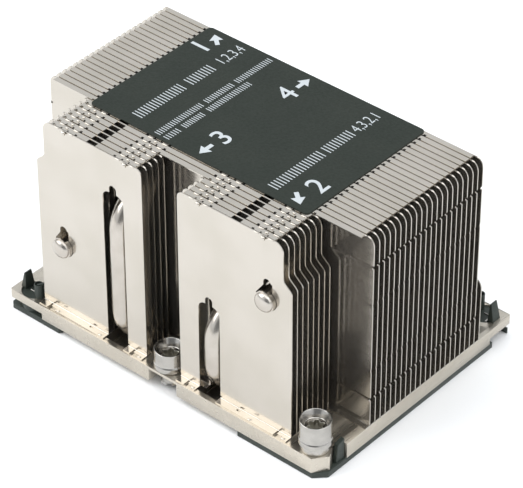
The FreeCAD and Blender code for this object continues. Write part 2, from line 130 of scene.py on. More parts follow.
@dataclass(frozen=True)
class Pattern:
    """Noise over Object coordinates.

    Attributes:
        sizes_mm: size of one speck along X, Y and Z, coarse enough to show.
        detail: octaves of finer noise.
    """
    sizes_mm: tuple[float, float, float]
    detail: float

    def value(self, tree: bpy.types.NodeTree) -> bpy.types.NodeSocket:
        """Add the pattern to a material's tree, and give its value from 0 to 1."""
        place = add_node(tree, "ShaderNodeTexCoord").outputs["Object"]
        scaled = add_node(tree, "ShaderNodeMapping",
                          {"Vector": place, "Scale": [1 / (size * MM) for size in self.sizes_mm]})
        noise = add_node(tree, "ShaderNodeTexNoise", {"Vector": scaled.outputs["Vector"],
                                                      "Scale": 1.0, "Detail": self.detail})
        return noise.outputs["Fac"]


@dataclass(frozen=True)
class Finish:
    """Surface with two tones in soft patches, and a fine texture in gloss and relief.

    Attributes:
        name: what the material is.
        slot: slot of the record that it shows, empty for the studio's own.
        tones: colour of the dull patches and of the bright ones.
        roughness: lowest and highest roughness across the texture.
        relief_mm: height of the texture.
    """
    name: str
    slot: str
    tones: tuple[str, str]
    roughness: tuple[float, float]
    relief_mm: float

    def mottled(self, texture: Pattern, patches: Pattern, breaks: tuple[float, float],
                constants: dict[str, float]) -> Coat:
        """Make the material.

        Args:
            texture: pattern of gloss and relief.
            patches: pattern of the two tones.
            breaks: values of the patches where the dull tone ends and the bright one begins.
            constants: sockets of the shader that are the same all over.
        Returns:
            The coat.
        """
        material = bpy.data.materials.new(self.name)
        material.use_nodes = True
        tree = material.node_tree
        tree.nodes.clear()
        fine = texture.value(tree)
        tint = add_node(tree, "ShaderNodeValToRGB", {"Fac": patches.value(tree)})
        for stop, position, tone in zip(tint.color_ramp.elements, breaks, self.tones):
            stop.position, stop.color = position, linear(tone)
        gloss = add_node(tree, "ShaderNodeMapRange",
                         {"Value": fine, "From Min": 0.3, "From Max": 0.7,
                          "To Min": self.roughness[0], "To Max": self.roughness[1]})
        relief = add_node(tree, "ShaderNodeBump",
                          {"Height": fine, "Distance": self.relief_mm * MM, "Strength": 1.0})
        shader = add_node(tree, "ShaderNodeBsdfPrincipled",
                          {"Base Color": tint.outputs["Color"], **constants,
                           "Roughness": gloss.outputs["Result"],
                           "Normal": relief.outputs["Normal"]})
        add_node(tree, "ShaderNodeOutputMaterial", {"Surface": shader.outputs["BSDF"]})
        return Coat(material, self.slot)


@dataclass(frozen=True)
class MetalFinish(Finish):
    """Bare or plated metal: a directional grain, and soft tarnish in its colour.

    Attributes:
        grain_mm: size of the grain along X, Y and Z.
        patch_mm: size of the tarnished patches.
        metallic: share of clean metal; the rest is a thin matt film of oxide and handling.
    """
    grain_mm: tuple[float, float, float]
    patch_mm: float
    metallic: float = 1.0

    def build(self) -> Coat:
        """Make the material."""
        return self.mottled(Pattern(self.grain_mm, 4.0), Pattern((self.patch_mm,) * 3, 5.0),
                            (0.35, 0.62), {"Metallic": self.metallic})


@dataclass(frozen=True)
class PlasticFinish(Finish):
    """Moulded or printed plastic: an even texture, with rubbed high spots.

    Attributes:
        texture_mm: size of the texture's cells.
        ior: index of refraction.
        rubbed_share: size of the rubbed spots beside the cells.
    """
    texture_mm: float
    ior: float = 1.5
    rubbed_share: float = 14.0

    def build(self) -> Coat:
        """Make the material."""
        return self.mottled(Pattern((self.texture_mm,) * 3, 3.0),
                            Pattern((self.texture_mm * self.rubbed_share,) * 3, 3.0),
                            (0.38, 0.75), {"IOR": self.ior})


# Rolled aluminium sheet, nickel flashed: bright and almost mirror smooth, with a trace of oxide.
FIN_SHEET = MetalFinish("rolled_aluminium", "fin_sheet", ("#BFB9AF", "#C5BFB6"), (0.14, 0.19),
                        0.0003, (8.0, 0.5, 0.5), 13.0, 0.94)
# Milled and plated base: satin, with faint cutter lines across its width.
MILLED_BASE = MetalFinish("milled_plated_base", "base_metal", ("#BFB8AC", "#C7C0B4"), (0.26, 0.34),
                          0.0006, (0.6, 7.0, 0.6), 10.0, 0.94)
# Nickel-plated copper tube: smooth, slightly yellow, drawn along its length.
PLATED_PIPE = MetalFinish("nickel_plated_tube", "plated_pipe", ("#B5AEA5", "#C1BBB3"),
                          (0.18, 0.26), 0.0006, (0.6, 3.0, 3.0), 6.0)
# Zinc-plated turned steel: neutral grey, with fine turning rings.
NUT_STEEL = MetalFinish("zinc_plated_steel", "nut_steel", ("#A5A29D", "#B3B0AB"), (0.16, 0.24),
                        0.001, (3.0, 3.0, 0.3), 4.0)
# The same steel in the broached socket: rougher from the broach, and painted darker to stand for
# the shade in the deep recess.
SOCKET_STEEL_PAINTED_SHADE = MetalFinish("broached_socket_steel", "nut_steel", ("#8C897F", "#ABA89F"),
                           (0.30, 0.42), 0.003, (0.5, 0.5, 1.2), 1.5)
# Plain turned steel sleeve: duller than the nut.
SLEEVE_STEEL = MetalFinish("turned_steel_sleeve", "sleeve_steel", ("#A5A29D", "#B7B4AF"),
                           (0.24, 0.34), 0.002, (2.0, 2.0, 0.25), 3.0)
# Glass-filled black nylon: spark-eroded mould texture with a soft sheen.
CARRIER_NYLON = PlasticFinish("glass_filled_nylon", "carrier_plastic", ("#2B322D", "#353B36"),
                              (0.36, 0.52), 0.012, 0.35, 1.42)
# Polyester film with a leathery grain, printed in dark green-grey.
PLATE_FILM = PlasticFinish("printed_polyester_film", "plate_film", ("#1B221B", "#20261F"),
                           (0.42, 0.60), 0.03, 0.7, 1.34)
# Pale printing ink on the film.
PLATE_INK = PlasticFinish("screen_ink", "plate_film", ("#B4BABD", "#BCC1C4"), (0.45, 0.60),
                          0.004, 0.5)
# Matt paper sweep under the part.
PALE_PAPER = PlasticFinish("pale_paper", "", ("#FBFBFB", "#FCFCFC"), (0.80, 0.90), 0.01, 2.0)


# ---------------------------------------------------------------- meshes

def grid_faces(rows: int, columns: int, closed: bool = False) -> Array:
    """Quads of a grid of vertices numbered row by row.

    Args:
        rows: vertices along the first parameter.
        columns: vertices along the second parameter.
        closed: whether the last column joins the first.
    Returns:
        Vertex numbers, four to a quad.
    """
    span = columns if closed else columns - 1
    row, column = np.meshgrid(np.arange(rows - 1), np.arange(span), indexing="ij")
    after = (column + 1) % columns
    corners = [row * columns + column, row * columns + after,
               (row + 1) * columns + after, (row + 1) * columns + column]
    return np.stack(corners, axis=-1).reshape(-1, 4)


def rim_faces(kept: Array) -> Array:
    """Quads between two copies of a grid, along every border of its kept cells.

    Args:
        kept: which cells of the grid exist, row by row.
    Returns:
        Vertex numbers; the second copy's vertices follow the first's.
    """
    rows, across = np.array(kept.shape) + 1
    padded = np.pad(kept, 1)
    upright = np.argwhere(padded[1:-1, :-1] != padded[1:-1, 1:]) @ (across, 1)
    level = np.argwhere(padded[:-1, 1:-1] != padded[1:, 1:-1]) @ (across, 1)
    ends = np.concatenate([np.stack([upright, upright + across], axis=1),
                           np.stack([level, level + 1], axis=1)])
    return np.concatenate([ends, ends[:, ::-1] + rows * across], axis=1)


def finished(work: bmesh.types.BMesh, name: str, crease_degrees: float) -> bpy.types.Object:
    """Turn a working mesh into a smoothly shaded object at the origin.

    Args:
        work: the mesh, which is freed.
        name: name of the piece.
        crease_degrees: edges that turn more than this stay sharp.
    Returns:
        The object, linked to the scene.
    """
    mesh = bpy.data.meshes.new(name)
    work.to_mesh(mesh)
    work.free()
    mesh.polygons.foreach_set("use_smooth", np.ones(len(mesh.polygons), dtype=bool))
    mesh.set_sharp_from_angle(angle=math.radians(crease_degrees))
    return linked(name, mesh)


def linked(name: str, data: bpy.types.ID) -> bpy.types.Object:
    """New object of this data, linked to the scene."""
    thing = bpy.data.objects.new(name, data)
    bpy.context.scene.collection.objects.link(thing)
    return thing


def eased(work: bmesh.types.BMesh, name: str, width: float, turn_degrees: float
          ) -> bpy.types.Object:
    """Join a working mesh's flat faces, break its sharp edges and finish it.

    Args:
        work: the mesh, which is freed.
        name: name of the piece.
        width: width of the broken edges.
        turn_degrees: edges that turn more than this are broken.
    Returns:
        The piece.
    """
    bmesh.ops.dissolve_limit(work, angle_limit=math.radians(1.0), verts=work.verts,
                             edges=work.edges)
    sharp = [edge for edge in work.edges if len(edge.link_faces) == 2
             and edge.calc_face_angle(0) > math.radians(turn_degrees)]
    bmesh.ops.bevel(work, geom=sharp, offset=width * MM, segments=2, profile=0.5, affect="EDGES",
                    clamp_overlap=True)
    return finished(work, name, 28.0)


@dataclass(frozen=True)
class Shape:
    """Vertices and faces of a piece before it is written.

    Attributes:
        points: vertices in millimetres.
        faces: arrays of vertex numbers, each of faces with the same number of corners.
    """
    points: Array
    faces: list[Array]

    @staticmethod
    def joined(shapes: list["Shape"]) -> "Shape":
        """One shape out of several."""
        starts = np.cumsum([0] + [len(shape.points) for shape in shapes])
        return Shape(np.concatenate([shape.points for shape in shapes]),
                     [group + start for shape, start in zip(shapes, starts)
                      for group in shape.faces])

    def half_turned(self) -> "Shape":
        """The same shape on the opposite corner of the part."""
        return Shape(self.points * (-1.0, -1.0, 1.0), self.faces)

    def repeated(self, places: Array) -> "Shape":
        """The shape moved by each row of places."""
        steps = len(self.points) * np.arange(len(places))[:, None, None]
        return Shape((places[:, None] + self.points[None]).reshape(-1, 3),
                     [(group[None] + steps).reshape(-1, group.shape[1]) for group in self.faces])

    def piece(self, name: str, crease_degrees: float = 32.0) -> bpy.types.Object:
        """Write the mesh, close its seams and turn its faces outwards.

        Args:
            name: name of the piece.
            crease_degrees: edges that turn more than this stay sharp.
        Returns:
            The piece at the origin.
        """
        faces = [face for group in self.faces for face in group.tolist()]
        draft = bpy.data.meshes.new("draft")
        draft.from_pydata((self.points * MM).tolist(), [], faces)
        work = bmesh.new()
        work.from_mesh(draft)
        bpy.data.meshes.remove(draft)
        bmesh.ops.remove_doubles(work, verts=work.verts, dist=MERGE_MM * MM)
        bmesh.ops.dissolve_degenerate(work, edges=work.edges, dist=MERGE_MM * MM / 2)
        bmesh.ops.recalc_face_normals(work, faces=work.faces)
        return finished(work, name, crease_degrees)


def capped(rings: Array) -> Shape:
    """Closed body through rings of points, with a flat cap on both ends.

    Args:
        rings: points, as rings by sides by 3 coordinates.
    Returns:
        The body.
    """
    count, sides = rings.shape[:2]
    first = np.arange(sides)[None]
    return Shape(rings.reshape(-1, 3), [grid_faces(count, sides, closed=True), first[:, ::-1],
                                        first + (count - 1) * sides])


def prism(levels: list[tuple[Array, float]], axes: tuple[int, int, int] = (0, 1, 2)) -> Shape:
    """Body through counterclockwise outlines, each at its own level.

    Args:
        levels: outline as rows of two coordinates, and its place along the third axis.
        axes: where the outline's two coordinates and the level go among X, Y and Z.
    Returns:
        The capped body.
    """
    stack = np.stack([np.column_stack([outline, np.full(len(outline), level)])
                      for outline, level in levels])
    rings = np.empty_like(stack)
    rings[..., list(axes)] = stack
    return capped(rings)


def drawn_in(outline: Array, edge: float) -> Array:
    """Move a closed outline inwards, along the bisector at each corner.

    Args:
        outline: counterclockwise rows of two coordinates.
        edge: how far each side moves.
    Returns:
        The smaller outline.
    """
    along = np.roll(outline, -1, axis=0) - outline
    along /= np.linalg.norm(along, axis=1, keepdims=True)
    normal = np.stack([along[:, 1], -along[:, 0]], axis=1)
    before = np.roll(normal, 1, axis=0)
    return outline - edge * (normal + before) / (1 + np.sum(normal * before, axis=1,
                                                            keepdims=True))


def soft_prism(outline: Array, low: float, high: float, edge: float,
               axes: tuple[int, int, int] = (0, 1, 2)) -> Shape:
    """Prism with broken edges: four rings, of which the first and last are drawn in.

    Args:
        outline: counterclockwise rows of two coordinates.
        low: start along the third axis.
        high: end along the third axis.
        edge: width of the broken edges.
        axes: where the outline's two coordinates and the length go among X, Y and Z.
    Returns:
        The body.
    """
    inner = drawn_in(outline, edge)
    return prism([(inner, low), (outline, low + edge), (outline, high - edge), (inner, high)], axes)


def circle(radius: float, centre: tuple[float, float], sides: int = 40) -> Array:
    """Points on a circle: centre plus radius times cosine and sine of equal turns."""
    turn = np.linspace(0, 2 * math.pi, sides, endpoint=False)
    return np.array(centre) + radius * np.column_stack([np.cos(turn), np.sin(turn)])


def arc_wall(centre: tuple[float, float], radii: tuple[float, float], turns: Array, low: float,
             top: float, edge: float) -> Shape:
    """Curved wall between two radii, with its upper corners broken.

    At each turn t the section's six points lie at centre plus radius times (cos t, sin t).

    Args:
        centre: X and Y of the axis.
        radii: inner and outer radius.
        turns: angles in radians, growing.
        low: height of the foot.
        top: height of the top.
        edge: width of the broken corners.
    Returns:
        The wall.
    """
    inner, outer = radii
    section = np.array([(inner, low), (outer, low), (outer, top - edge), (outer - edge, top),
                        (inner + edge, top), (inner, top - edge)])
    across, along = section[:, 0] * np.cos(turns)[:, None], section[:, 0] * np.sin(turns)[:, None]
    return capped(np.stack([centre[0] + across, centre[1] + along,
                            np.broadcast_to(section[:, 1], across.shape)], axis=-1))


def lathe(profile: Array, centre: tuple[float, float], waviness: Array | float = 0.0,
          lobes: int = 6, sides: int = 60) -> Shape:
    """Turn a profile round a vertical axis, with an optional lobed section.

    A vertex lies at radius r (1 + w cos(lobes t)) and height z, for the profile's r, z and the
    waviness w of each of its points.

    Args:
        profile: rows of radius and height.
        centre: X and Y of the axis.
        waviness: depth of the lobes at each profile point, as a share of its radius.
        lobes: how many lobes.
        sides: vertices round the axis.
    Returns:
        The turned surface.
    """
    turn = np.linspace(0, 2 * math.pi, sides, endpoint=False)
    wave = np.broadcast_to(waviness, len(profile))[:, None]
    radius = profile[:, :1] * (1 + wave * np.cos(lobes * turn)[None])
    points = np.stack([centre[0] + radius * np.cos(turn), centre[1] + radius * np.sin(turn),
                       np.broadcast_to(profile[:, 1:], radius.shape)], axis=-1)
    return Shape(points.reshape(-1, 3), [grid_faces(len(profile), sides, closed=True)])


def signed_power(value: Array, power: Array | float) -> Array:
    """Power of the size of a value, with the value's own sign."""
    return np.sign(value) * np.abs(value) ** power


def smooth_step(share: Array) -> Array:
    """Smooth ramp from 0 to 1: three times the square less twice the cube."""
    return share * share * (3 - 2 * share)


def half_chord(radius: float, off: Array) -> Array:
    """Half width of a circle at a distance from its middle, 0 outside it."""
    return np.sqrt(np.maximum(radius ** 2 - off ** 2, 0))


def box_mm(node: str) -> tuple[Array, Array]:
    """Lowest and highest corner of a CAD node, in millimetres."""
    low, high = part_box(node)
    return np.array(low) / MM, np.array(high) / MM


# ---------------------------------------------------------------- heat pipes

class Bend(Enum):
    """Which face of the fin stack a pipe bends behind; the value is its arms' way along Y."""
    NEAR = 1
    FAR = -1


@dataclass
class HeatPipe:
    """One C-shaped heat pipe: pressed arm in the base, leg, bend and arm with a closed end.

    Attributes:
        number: which pipe.
        bend: face of the stack behind which its leg stands.
        radius: radius of the round tube.
        turn: radius of its bends.
        flat_width: width of the pressed arm.
        flat_height: height of the pressed arm.
        sink: how far the round bend's axis lies below the top of the base.
        press_length: length over which the tube goes from pressed to round.
        tail_gap: distance from the closed tip back to the end of the pressed arm.
        nose_share: length of the welded cap, as a share of the tube's radius.
        cap_share: radius of the cap beside that of the tube.
        squareness: how far below one the power of the pressed section lies.
        sides: vertices round the tube.
        x: X of the whole pipe.
        arm_z: height of the upper arm's axis.
        leg_y: Y of the leg's axis.
        tip_y: Y of the closed end.
        base_top: height of the top of the base.
    """
    number: int
    bend: Bend
    radius: float = 3.0
    turn: float = 10.0
    flat_width: float = 7.8
    flat_height: float = 3.4
    sink: float = 0.8
    press_length: float = 2.0
    tail_gap: float = 4.6
    nose_share: float = 0.5
    cap_share: float = 0.93
    squareness: float = 0.45
    sides: int = 32
    x: float = field(init=False)
    arm_z: float = field(init=False)
    leg_y: float = field(init=False)
    tip_y: float = field(init=False)
    base_top: float = field(init=False)

    def __post_init__(self) -> None:
        """Take the pipe's places from its CAD node."""
        low, high = box_mm(self.node)
        self.x = (low[0] + high[0]) / 2
        self.arm_z = high[2] - self.radius
        self.base_top = box_mm("base_plate")[1][2]
        near = self.bend is Bend.NEAR
        self.leg_y = low[1] + self.radius if near else high[1] - self.radius
        self.tip_y = high[1] if near else low[1]

    @property
    def node(self) -> str:
        """Name of the CAD node."""
        return f"heat_pipe_{self.number}"

    @property
    def run(self) -> int:
        """Direction along Y in which both arms leave the leg."""
        return self.bend.value

    @property
    def bend_y(self) -> float:
        """Place along Y where the arms' straight runs begin."""
        return self.leg_y + self.run * self.turn

    @property
    def flat_y(self) -> float:
        """Place along Y where the pipe is fully pressed."""
        return self.bend_y + self.run * self.press_length

    def stands_in(self, sheet_front: float, sheet_back: float) -> bool:
        """Whether the leg or its bends stand in a sheet between these places along Y."""
        if self.bend is Bend.NEAR:
            return sheet_front < self.flat_y
        return sheet_back > self.flat_y

    def route(self) -> tuple[Array, Array, Array, Array]:
        """Centre line and half sizes of the section, from the pressed tail to the closed tip.

        The line is straight along the base, turns up by a quarter circle, runs up the leg, turns
        by a second quarter circle and ends straight. The half sizes go from pressed to round over
        the press length, and fall as a quarter ellipse over the cap.

        Returns:
            Y, Z, half width and half height along the route.
        """
        low_z, flat_z = self.base_top - self.sink, self.base_top - self.flat_height / 2
        sine, cosine = (way(np.linspace(0, QUARTER, 13)) for way in (np.sin, np.cos))
        press = np.linspace(0, 1, 9)[1:]
        ease = smooth_step(press)
        cap = np.linspace(0, QUARTER, 9)
        nose = np.concatenate([[0.0], 0.02 + 0.98 * np.sin(cap)])
        nose_size = np.concatenate([[1.0], self.cap_share * np.cos(cap * 0.995)])
        tail_y = self.tip_y - self.run * self.tail_gap
        y = np.concatenate([[tail_y, tail_y, self.flat_y],
                            self.flat_y + (self.bend_y - self.flat_y) * press,
                            self.bend_y - self.run * self.turn * sine[1:],
                            self.bend_y - self.run * self.turn * cosine,
                            self.tip_y - self.run * self.radius * self.nose_share * (1 - nose)])
        z = np.concatenate([np.full(3, flat_z), flat_z + (low_z - flat_z) * ease,
                            low_z + self.turn * (1 - cosine[1:]),
                            self.arm_z - self.turn * (1 - sine), np.full(len(nose), self.arm_z)])
        rounded = np.concatenate([np.zeros(3), ease, np.ones(len(y) - 3 - len(ease))])
        size = np.concatenate([np.ones(len(y) - len(nose)), nose_size])
        wide, tall = ((flat + (self.radius - flat) * rounded) * size
                      for flat in (self.flat_width / 2, self.flat_height / 2))
        wide[0] = tall[0] = 2 * POLE_MM
        return y, z, wide, tall

    def tube(self) -> Shape:
        """Sweep the section along the route.

        Each vertex is the centre plus a cos(t) along X plus b sin(t) along the route's normal in
        the YZ plane, with cos and sin raised to a power below one where the pipe is pressed.
        """
        y, z, a, b = self.route()
        along = np.stack([np.gradient(y), np.gradient(z)], axis=1)
        along /= np.maximum(np.linalg.norm(along, axis=1, keepdims=True), 1e-9)
        turn = np.linspace(0, 2 * math.pi, self.sides, endpoint=False)
        power = 1 - self.squareness * np.clip((a - b) / (a[1] - b[1]), 0, 1)[:, None]
        wide = a[:, None] * signed_power(np.cos(turn), power)
        tall = b[:, None] * signed_power(np.sin(turn), power)
        return capped(np.stack([self.x + wide, y[:, None] - self.run * along[:, 1:] * tall,
                                z[:, None] + self.run * along[:, :1] * tall], axis=-1))

    def dress(self, coat: Coat) -> None:
        """Build the tube and put it in the CAD node's place."""
        coat.put_on(self.tube().piece(f"pipe_tube_{self.number}"), self.node)
        LOG.info("pipe %d: tube on %s", self.number, ROOT_BODY)


# ---------------------------------------------------------------- fins

@dataclass(frozen=True)
class Cut:
    """Gap in a sheet between two lines that follow its section.

    Attributes:
        middle: X of the gap's middle, the same for all stations or one for each.
        half_width: half width, likewise.
        missing: which cells between two stations are cut away.
    """
    middle: Array | float
    half_width: Array | float
    missing: Array


@dataclass(frozen=True)
class Stations:
    """Places along a sheet's bent section, from the foot's edge over the web to the fold's edge.

    Attributes:
        y: place along Y of the sheet's middle surface.
        z: height of the middle surface.
        normal_y: Y part of the outward normal.
        normal_z: Z part of the outward normal.
        reach: distance past the web along the top fold, -1 elsewhere.
    """
    y: Array
    z: Array
    normal_y: Array
    normal_z: Array
    reach: Array


@dataclass
class FoldedSheet:
    """One folded sheet of the stack, with its slots, holes, windows and lock notches.

    Attributes:
        node: CAD node that it stands for.
        pipes: heat pipes that may cross it.
        thickness: thickness of the sheet.
        bend: radius of its two bends, at the middle surface.
        corner: radius of its outer top corners.
        notch_corner: radius of the corners beside a driver's notch.
        shoulder_below_top: how far below the top the wings' ends begin to step in.
        shoulder_rise: height of that step.
        shoulder_depth: depth of that step.
        slot_half: half width of the slot round a pipe's leg.
        hole_radius: radius of the hole round a pipe's arm.
        lobe: radius of the solder lobe on top of a hole or slot.
        lobe_lift: height of a hole's lobe above the arm's axis.
        window: width of the square windows in the wings' folds.
        edge_gap: gap between a fold's edge and the next sheet.
        fold_notch: depth of the lock notches in the fold's edge.
        notches: for each lock notch, its place from the lock's middle and its half width.
        notch_room: sheet left beside the outermost wide notches.
        jog_heights: heights of the dimples pressed into the side edges.
        jog_shares: depth of each dimple beside the deepest.
        jog_half: half height of a dimple.
        jog_reach: depth of the deepest dimple.
        jog_margin: width of the strip of the edge that is dimpled.
        foot_lines: places across the free foot of the first sheet where its cuts begin and end.
        foot_slits: X of the slits in that foot, each with a step beside it.
        foot_holes: X of the small holes in that foot.
        foot_slit_half: half width of a slit.
        foot_step: place of a step from its slit, and its half width.
        foot_hole_half: half width of a small hole.
        notch_reach: length of the fold's edge that a lock notch may take.
        torn_left: torn edge left of a pipe, as its lowest and highest place above the pipe's
            axis, its width at the top, and how much that grows for each millimetre below.
        torn_right: torn edge right of a pipe, as its lowest and highest place and its width.
        number: row of the stack.
        low: lowest corner of the CAD node.
        high: highest corner of the CAD node.
    """
    node: str
    pipes: list[HeatPipe]
    thickness: float = 0.32
    bend: float = 0.34
    corner: float = 2.8
    notch_corner: float = 2.0
    shoulder_below_top: float = 14.0
    shoulder_rise: float = 3.4
    shoulder_depth: float = 2.8
    slot_half: float = 3.55
    hole_radius: float = 3.12
    lobe: float = 1.2
    lobe_lift: float = 5.2
    window: float = 3.0
    edge_gap: float = 0.06
    fold_notch: float = 0.5
    notches: tuple[tuple[float, float], ...] = ((-3.75, 0.36), (3.75, 0.36), (-1.25, 0.24),
                                                (1.0, 0.24))
    notch_room: float = 6.0
    jog_heights: tuple[float, ...] = (57.0, 45.3, 24.5, 15.2)
    jog_shares: tuple[float, ...] = (1.0, 0.3, 0.3, 0.8)
    jog_half: float = 0.62
    jog_reach: float = 0.42
    jog_margin: float = 0.6
    foot_lines: tuple[float, ...] = (0.0, 1.0, 1.35, 1.55)
    foot_slits: tuple[float, ...] = (-40.5, -11.0, 8.0, 38.0)
    foot_holes: tuple[float, ...] = (-26.0, 25.2)
    foot_slit_half: float = 0.28
    foot_step: tuple[float, float] = (1.28, 1.0)
    foot_hole_half: float = 0.6
    notch_reach: float = 0.45
    torn_left: tuple[float, float, float, float] = (0.3, 4.5, 1.0, 0.7)
    torn_right: tuple[float, float, float] = (2.0, 5.4, 1.7)
    number: int = field(init=False)
    low: Array = field(init=False)
    high: Array = field(init=False)

    def __post_init__(self) -> None:
        """Take the sheet's limits from its CAD node."""
        self.low, self.high = box_mm(self.node)
        self.number = int(self.node.split("_")[1])

    @property
    def first(self) -> bool:
        """Whether the sheet is the outermost one, with a free foot and no fold."""
        return self.number == 1

    @property
    def wing(self) -> bool:
        """Whether the sheet is one of the wings in front of the full-length rows."""
        return self.number <= 8

    @property
    def full(self) -> bool:
        """Whether the sheet is as long as the base and full height."""
        return 9 <= self.number <= 30

    def holds(self, x: float, room: float = 0.0) -> bool:
        """Whether a place along X lies on the sheet, with some room to its ends."""
        return self.low[0] + room < x < self.high[0] - room

    def locks(self, middles: list[float]) -> list[float]:
        """Lock clusters that fit on this sheet."""
        return [middle for middle in middles if self.holds(middle, 4.6)]

    def web_heights(self, start: float, stop: float) -> Array:
        """Heights along the web, dense where an opening, a corner or a dimple is round."""
        top = self.high[2]
        arc = np.sin(np.linspace(-QUARTER, QUARTER, 15))
        rise = arc[7:]
        levels = [np.linspace(start, stop, 12),
                  top - self.corner + self.corner * np.sin(np.linspace(0, QUARTER, 8))]
        if self.wing:
            step = top - self.shoulder_below_top
            levels.append(np.linspace(step, step + self.shoulder_rise, 7))
        for pipe in self.pipes:
            slot_top = pipe.arm_z + self.slot_half
            if self.holds(pipe.x) and top > slot_top:
                levels += [pipe.arm_z + self.hole_radius * arc,
                           pipe.arm_z + np.linspace(0.3, 5.5, 14),
                           pipe.arm_z + self.lobe_lift + self.lobe * rise,
                           slot_top - (self.slot_half - self.lobe) * (1 - rise),
                           slot_top + self.lobe + self.lobe * rise]
        if self.full:
            levels += [height + self.jog_half * np.linspace(-1, 1, 9)
                       for height in self.jog_heights]
        heights = np.unique(np.round(np.concatenate(levels), 3))
        return heights[(heights >= start) & (heights <= stop)]

    def stations(self) -> Stations:
        """Walk along the sheet's section.

        The foot runs along Y, a quarter circle of the bend radius turns it up into the web, and a
        second one turns it into the top fold.
        """
        half = self.thickness / 2
        web_y = self.high[1] - half
        knee_y = web_y - self.bend
        foot_z, top_z = self.low[2] + half, self.high[2] - half
        sine, cosine = (way(np.linspace(0, QUARTER, 6)) for way in (np.sin, np.cos))
        heights = self.web_heights(foot_z + self.bend,
                                   self.high[2] if self.first else top_z - self.bend)[1:]
        edge_y = self.low[1] + (0 if self.first else self.edge_gap)
        foot_y = edge_y + np.array(self.foot_lines) if self.first else np.array([edge_y,
                                                                                 knee_y - 0.01])
        flat, web = np.ones(len(foot_y)), np.ones(len(heights))
        runs = [(foot_y, flat * foot_z, flat * 0, -flat),
                (knee_y + self.bend * sine, foot_z + self.bend * (1 - cosine), sine, -cosine),
                (web * web_y, heights, web, web * 0)]
        if not self.first:
            fold_y = np.append(np.linspace(knee_y, edge_y, 5)[1:], edge_y + self.fold_notch)
            flat = np.ones(len(fold_y))
            runs += [(knee_y + self.bend * cosine[1:], top_z - self.bend * (1 - sine[1:]),
                      cosine[1:], sine[1:]),
                     (np.sort(fold_y)[::-1], flat * top_z, flat * 0, flat)]
        y, z, normal_y, normal_z = (np.concatenate(values) for values in zip(*runs))
        return Stations(y, z, normal_y, normal_z, np.where(normal_z > 0.001, web_y - y, -1.0))

    def edge(self, stations: Stations, side: int) -> Array:
        """X of the sheet's left (-1) or right (+1) edge at every station.

        The edge stands at the CAD limit, steps in at the shoulder by a smooth ramp, and ends in
        a quarter circle at the top.

        Args:
            stations: the sheet's section.
            side: -1 or +1.
        Returns:
            X at every station.
        """
        limit = self.low[0] if side < 0 else self.high[0]
        outer = limit * side > box_mm("base_plate")[1][0] / 2
        radius = self.corner if outer or self.full else self.notch_corner
        outside_z = stations.z + self.thickness / 2 * np.clip(stations.normal_z, 0, 1)
        rise = np.clip(outside_z - (self.high[2] - radius), 0, radius)
        inset = radius - half_chord(radius, rise)
        if self.wing and outer:
            step = self.high[2] - self.shoulder_below_top
            inset += self.shoulder_depth * smooth_step(
                np.clip((stations.z - step) / self.shoulder_rise, 0, 1))
        return limit - side * inset

    def pipe_cut(self, pipe: HeatPipe, stations: Stations) -> Cut:
        """Keyhole round a pipe's arm, or the tall slot in which its leg stands.

        Both are a round or straight-sided gap with a narrower round lobe on top of it.

        Args:
            pipe: the pipe in the gap.
            stations: the sheet's section.
        Returns:
            The cut.
        """
        z = stations.z
        in_slot = pipe.stands_in(self.low[1], self.high[1])
        if in_slot:
            top = pipe.arm_z + self.slot_half
            rounding = self.slot_half - self.lobe
            up = np.clip(z - (top - rounding), 0, rounding)
            above = z > top + TINY_MM
            half = np.where(above, 0, self.lobe + half_chord(rounding, up))
            lobe_z = top + self.lobe
        else:
            half = half_chord(self.hole_radius, z - pipe.arm_z)
            lobe_z, above = pipe.arm_z + self.lobe_lift, z > pipe.arm_z
        lobe = np.where(above, half_chord(self.lobe, np.clip(z - lobe_z, 0, None)), 0)
        half = np.where(stations.reach > -0.5, 0, np.maximum(half, lobe))
        left = right = np.where(half < 1e-3, 0, half)
        if self.first and not in_slot:
            left, right = self.torn(half, z - pipe.arm_z)
        half = (left + right) / 2
        return Cut(pipe.x + (right - left) / 2, half, np.maximum(half[:-1], half[1:]) > 0)

    def torn(self, half: Array, lift: Array) -> tuple[Array, Array]:
        """Keyhole of the outermost sheet, opened where the pipe's tip was pushed through.

        Left of the pipe the edge runs straight from the lobe down to the pipe's side; right of it
        the lobe is a little wider.

        Args:
            half: half width of the plain keyhole.
            lift: height above the pipe's axis.
        Returns:
            Widths to the left and to the right of the pipe's axis.
        """
        low, high, width, slope = self.torn_left
        slant = np.where((lift > low) & (lift < high) & (half > 0),
                         width + (high - lift) * slope, 0)
        low, high, width = self.torn_right
        shelf = np.where((lift > low) & (lift < high) & (half > 0), width, 0)
        return np.maximum(half, slant), np.maximum(half, shelf)

    def foot_cuts(self, stations: Stations) -> list[Cut]:
        """Cuts in the free foot of the first sheet: slits, each with a step, and small holes.

        Args:
            stations: the sheet's section.
        Returns:
            The cuts that lie on this half of the sheet.
        """
        middle = (stations.y[:-1] + stations.y[1:]) / 2 - self.low[1]
        on_foot = stations.normal_z[:-1] < -0.99
        step = on_foot & (middle < self.foot_lines[1])
        hole = on_foot & (middle > self.foot_lines[1]) & (middle < self.foot_lines[3])
        shift, half = self.foot_step
        cuts = [Cut(x, self.foot_slit_half, on_foot) for x in self.foot_slits]
        cuts += [Cut(x + shift, half, step) for x in self.foot_slits]
        cuts += [Cut(x, self.foot_hole_half, hole) for x in self.foot_holes]
        return [cut for cut in cuts if self.holds(cut.middle, 1.0)]

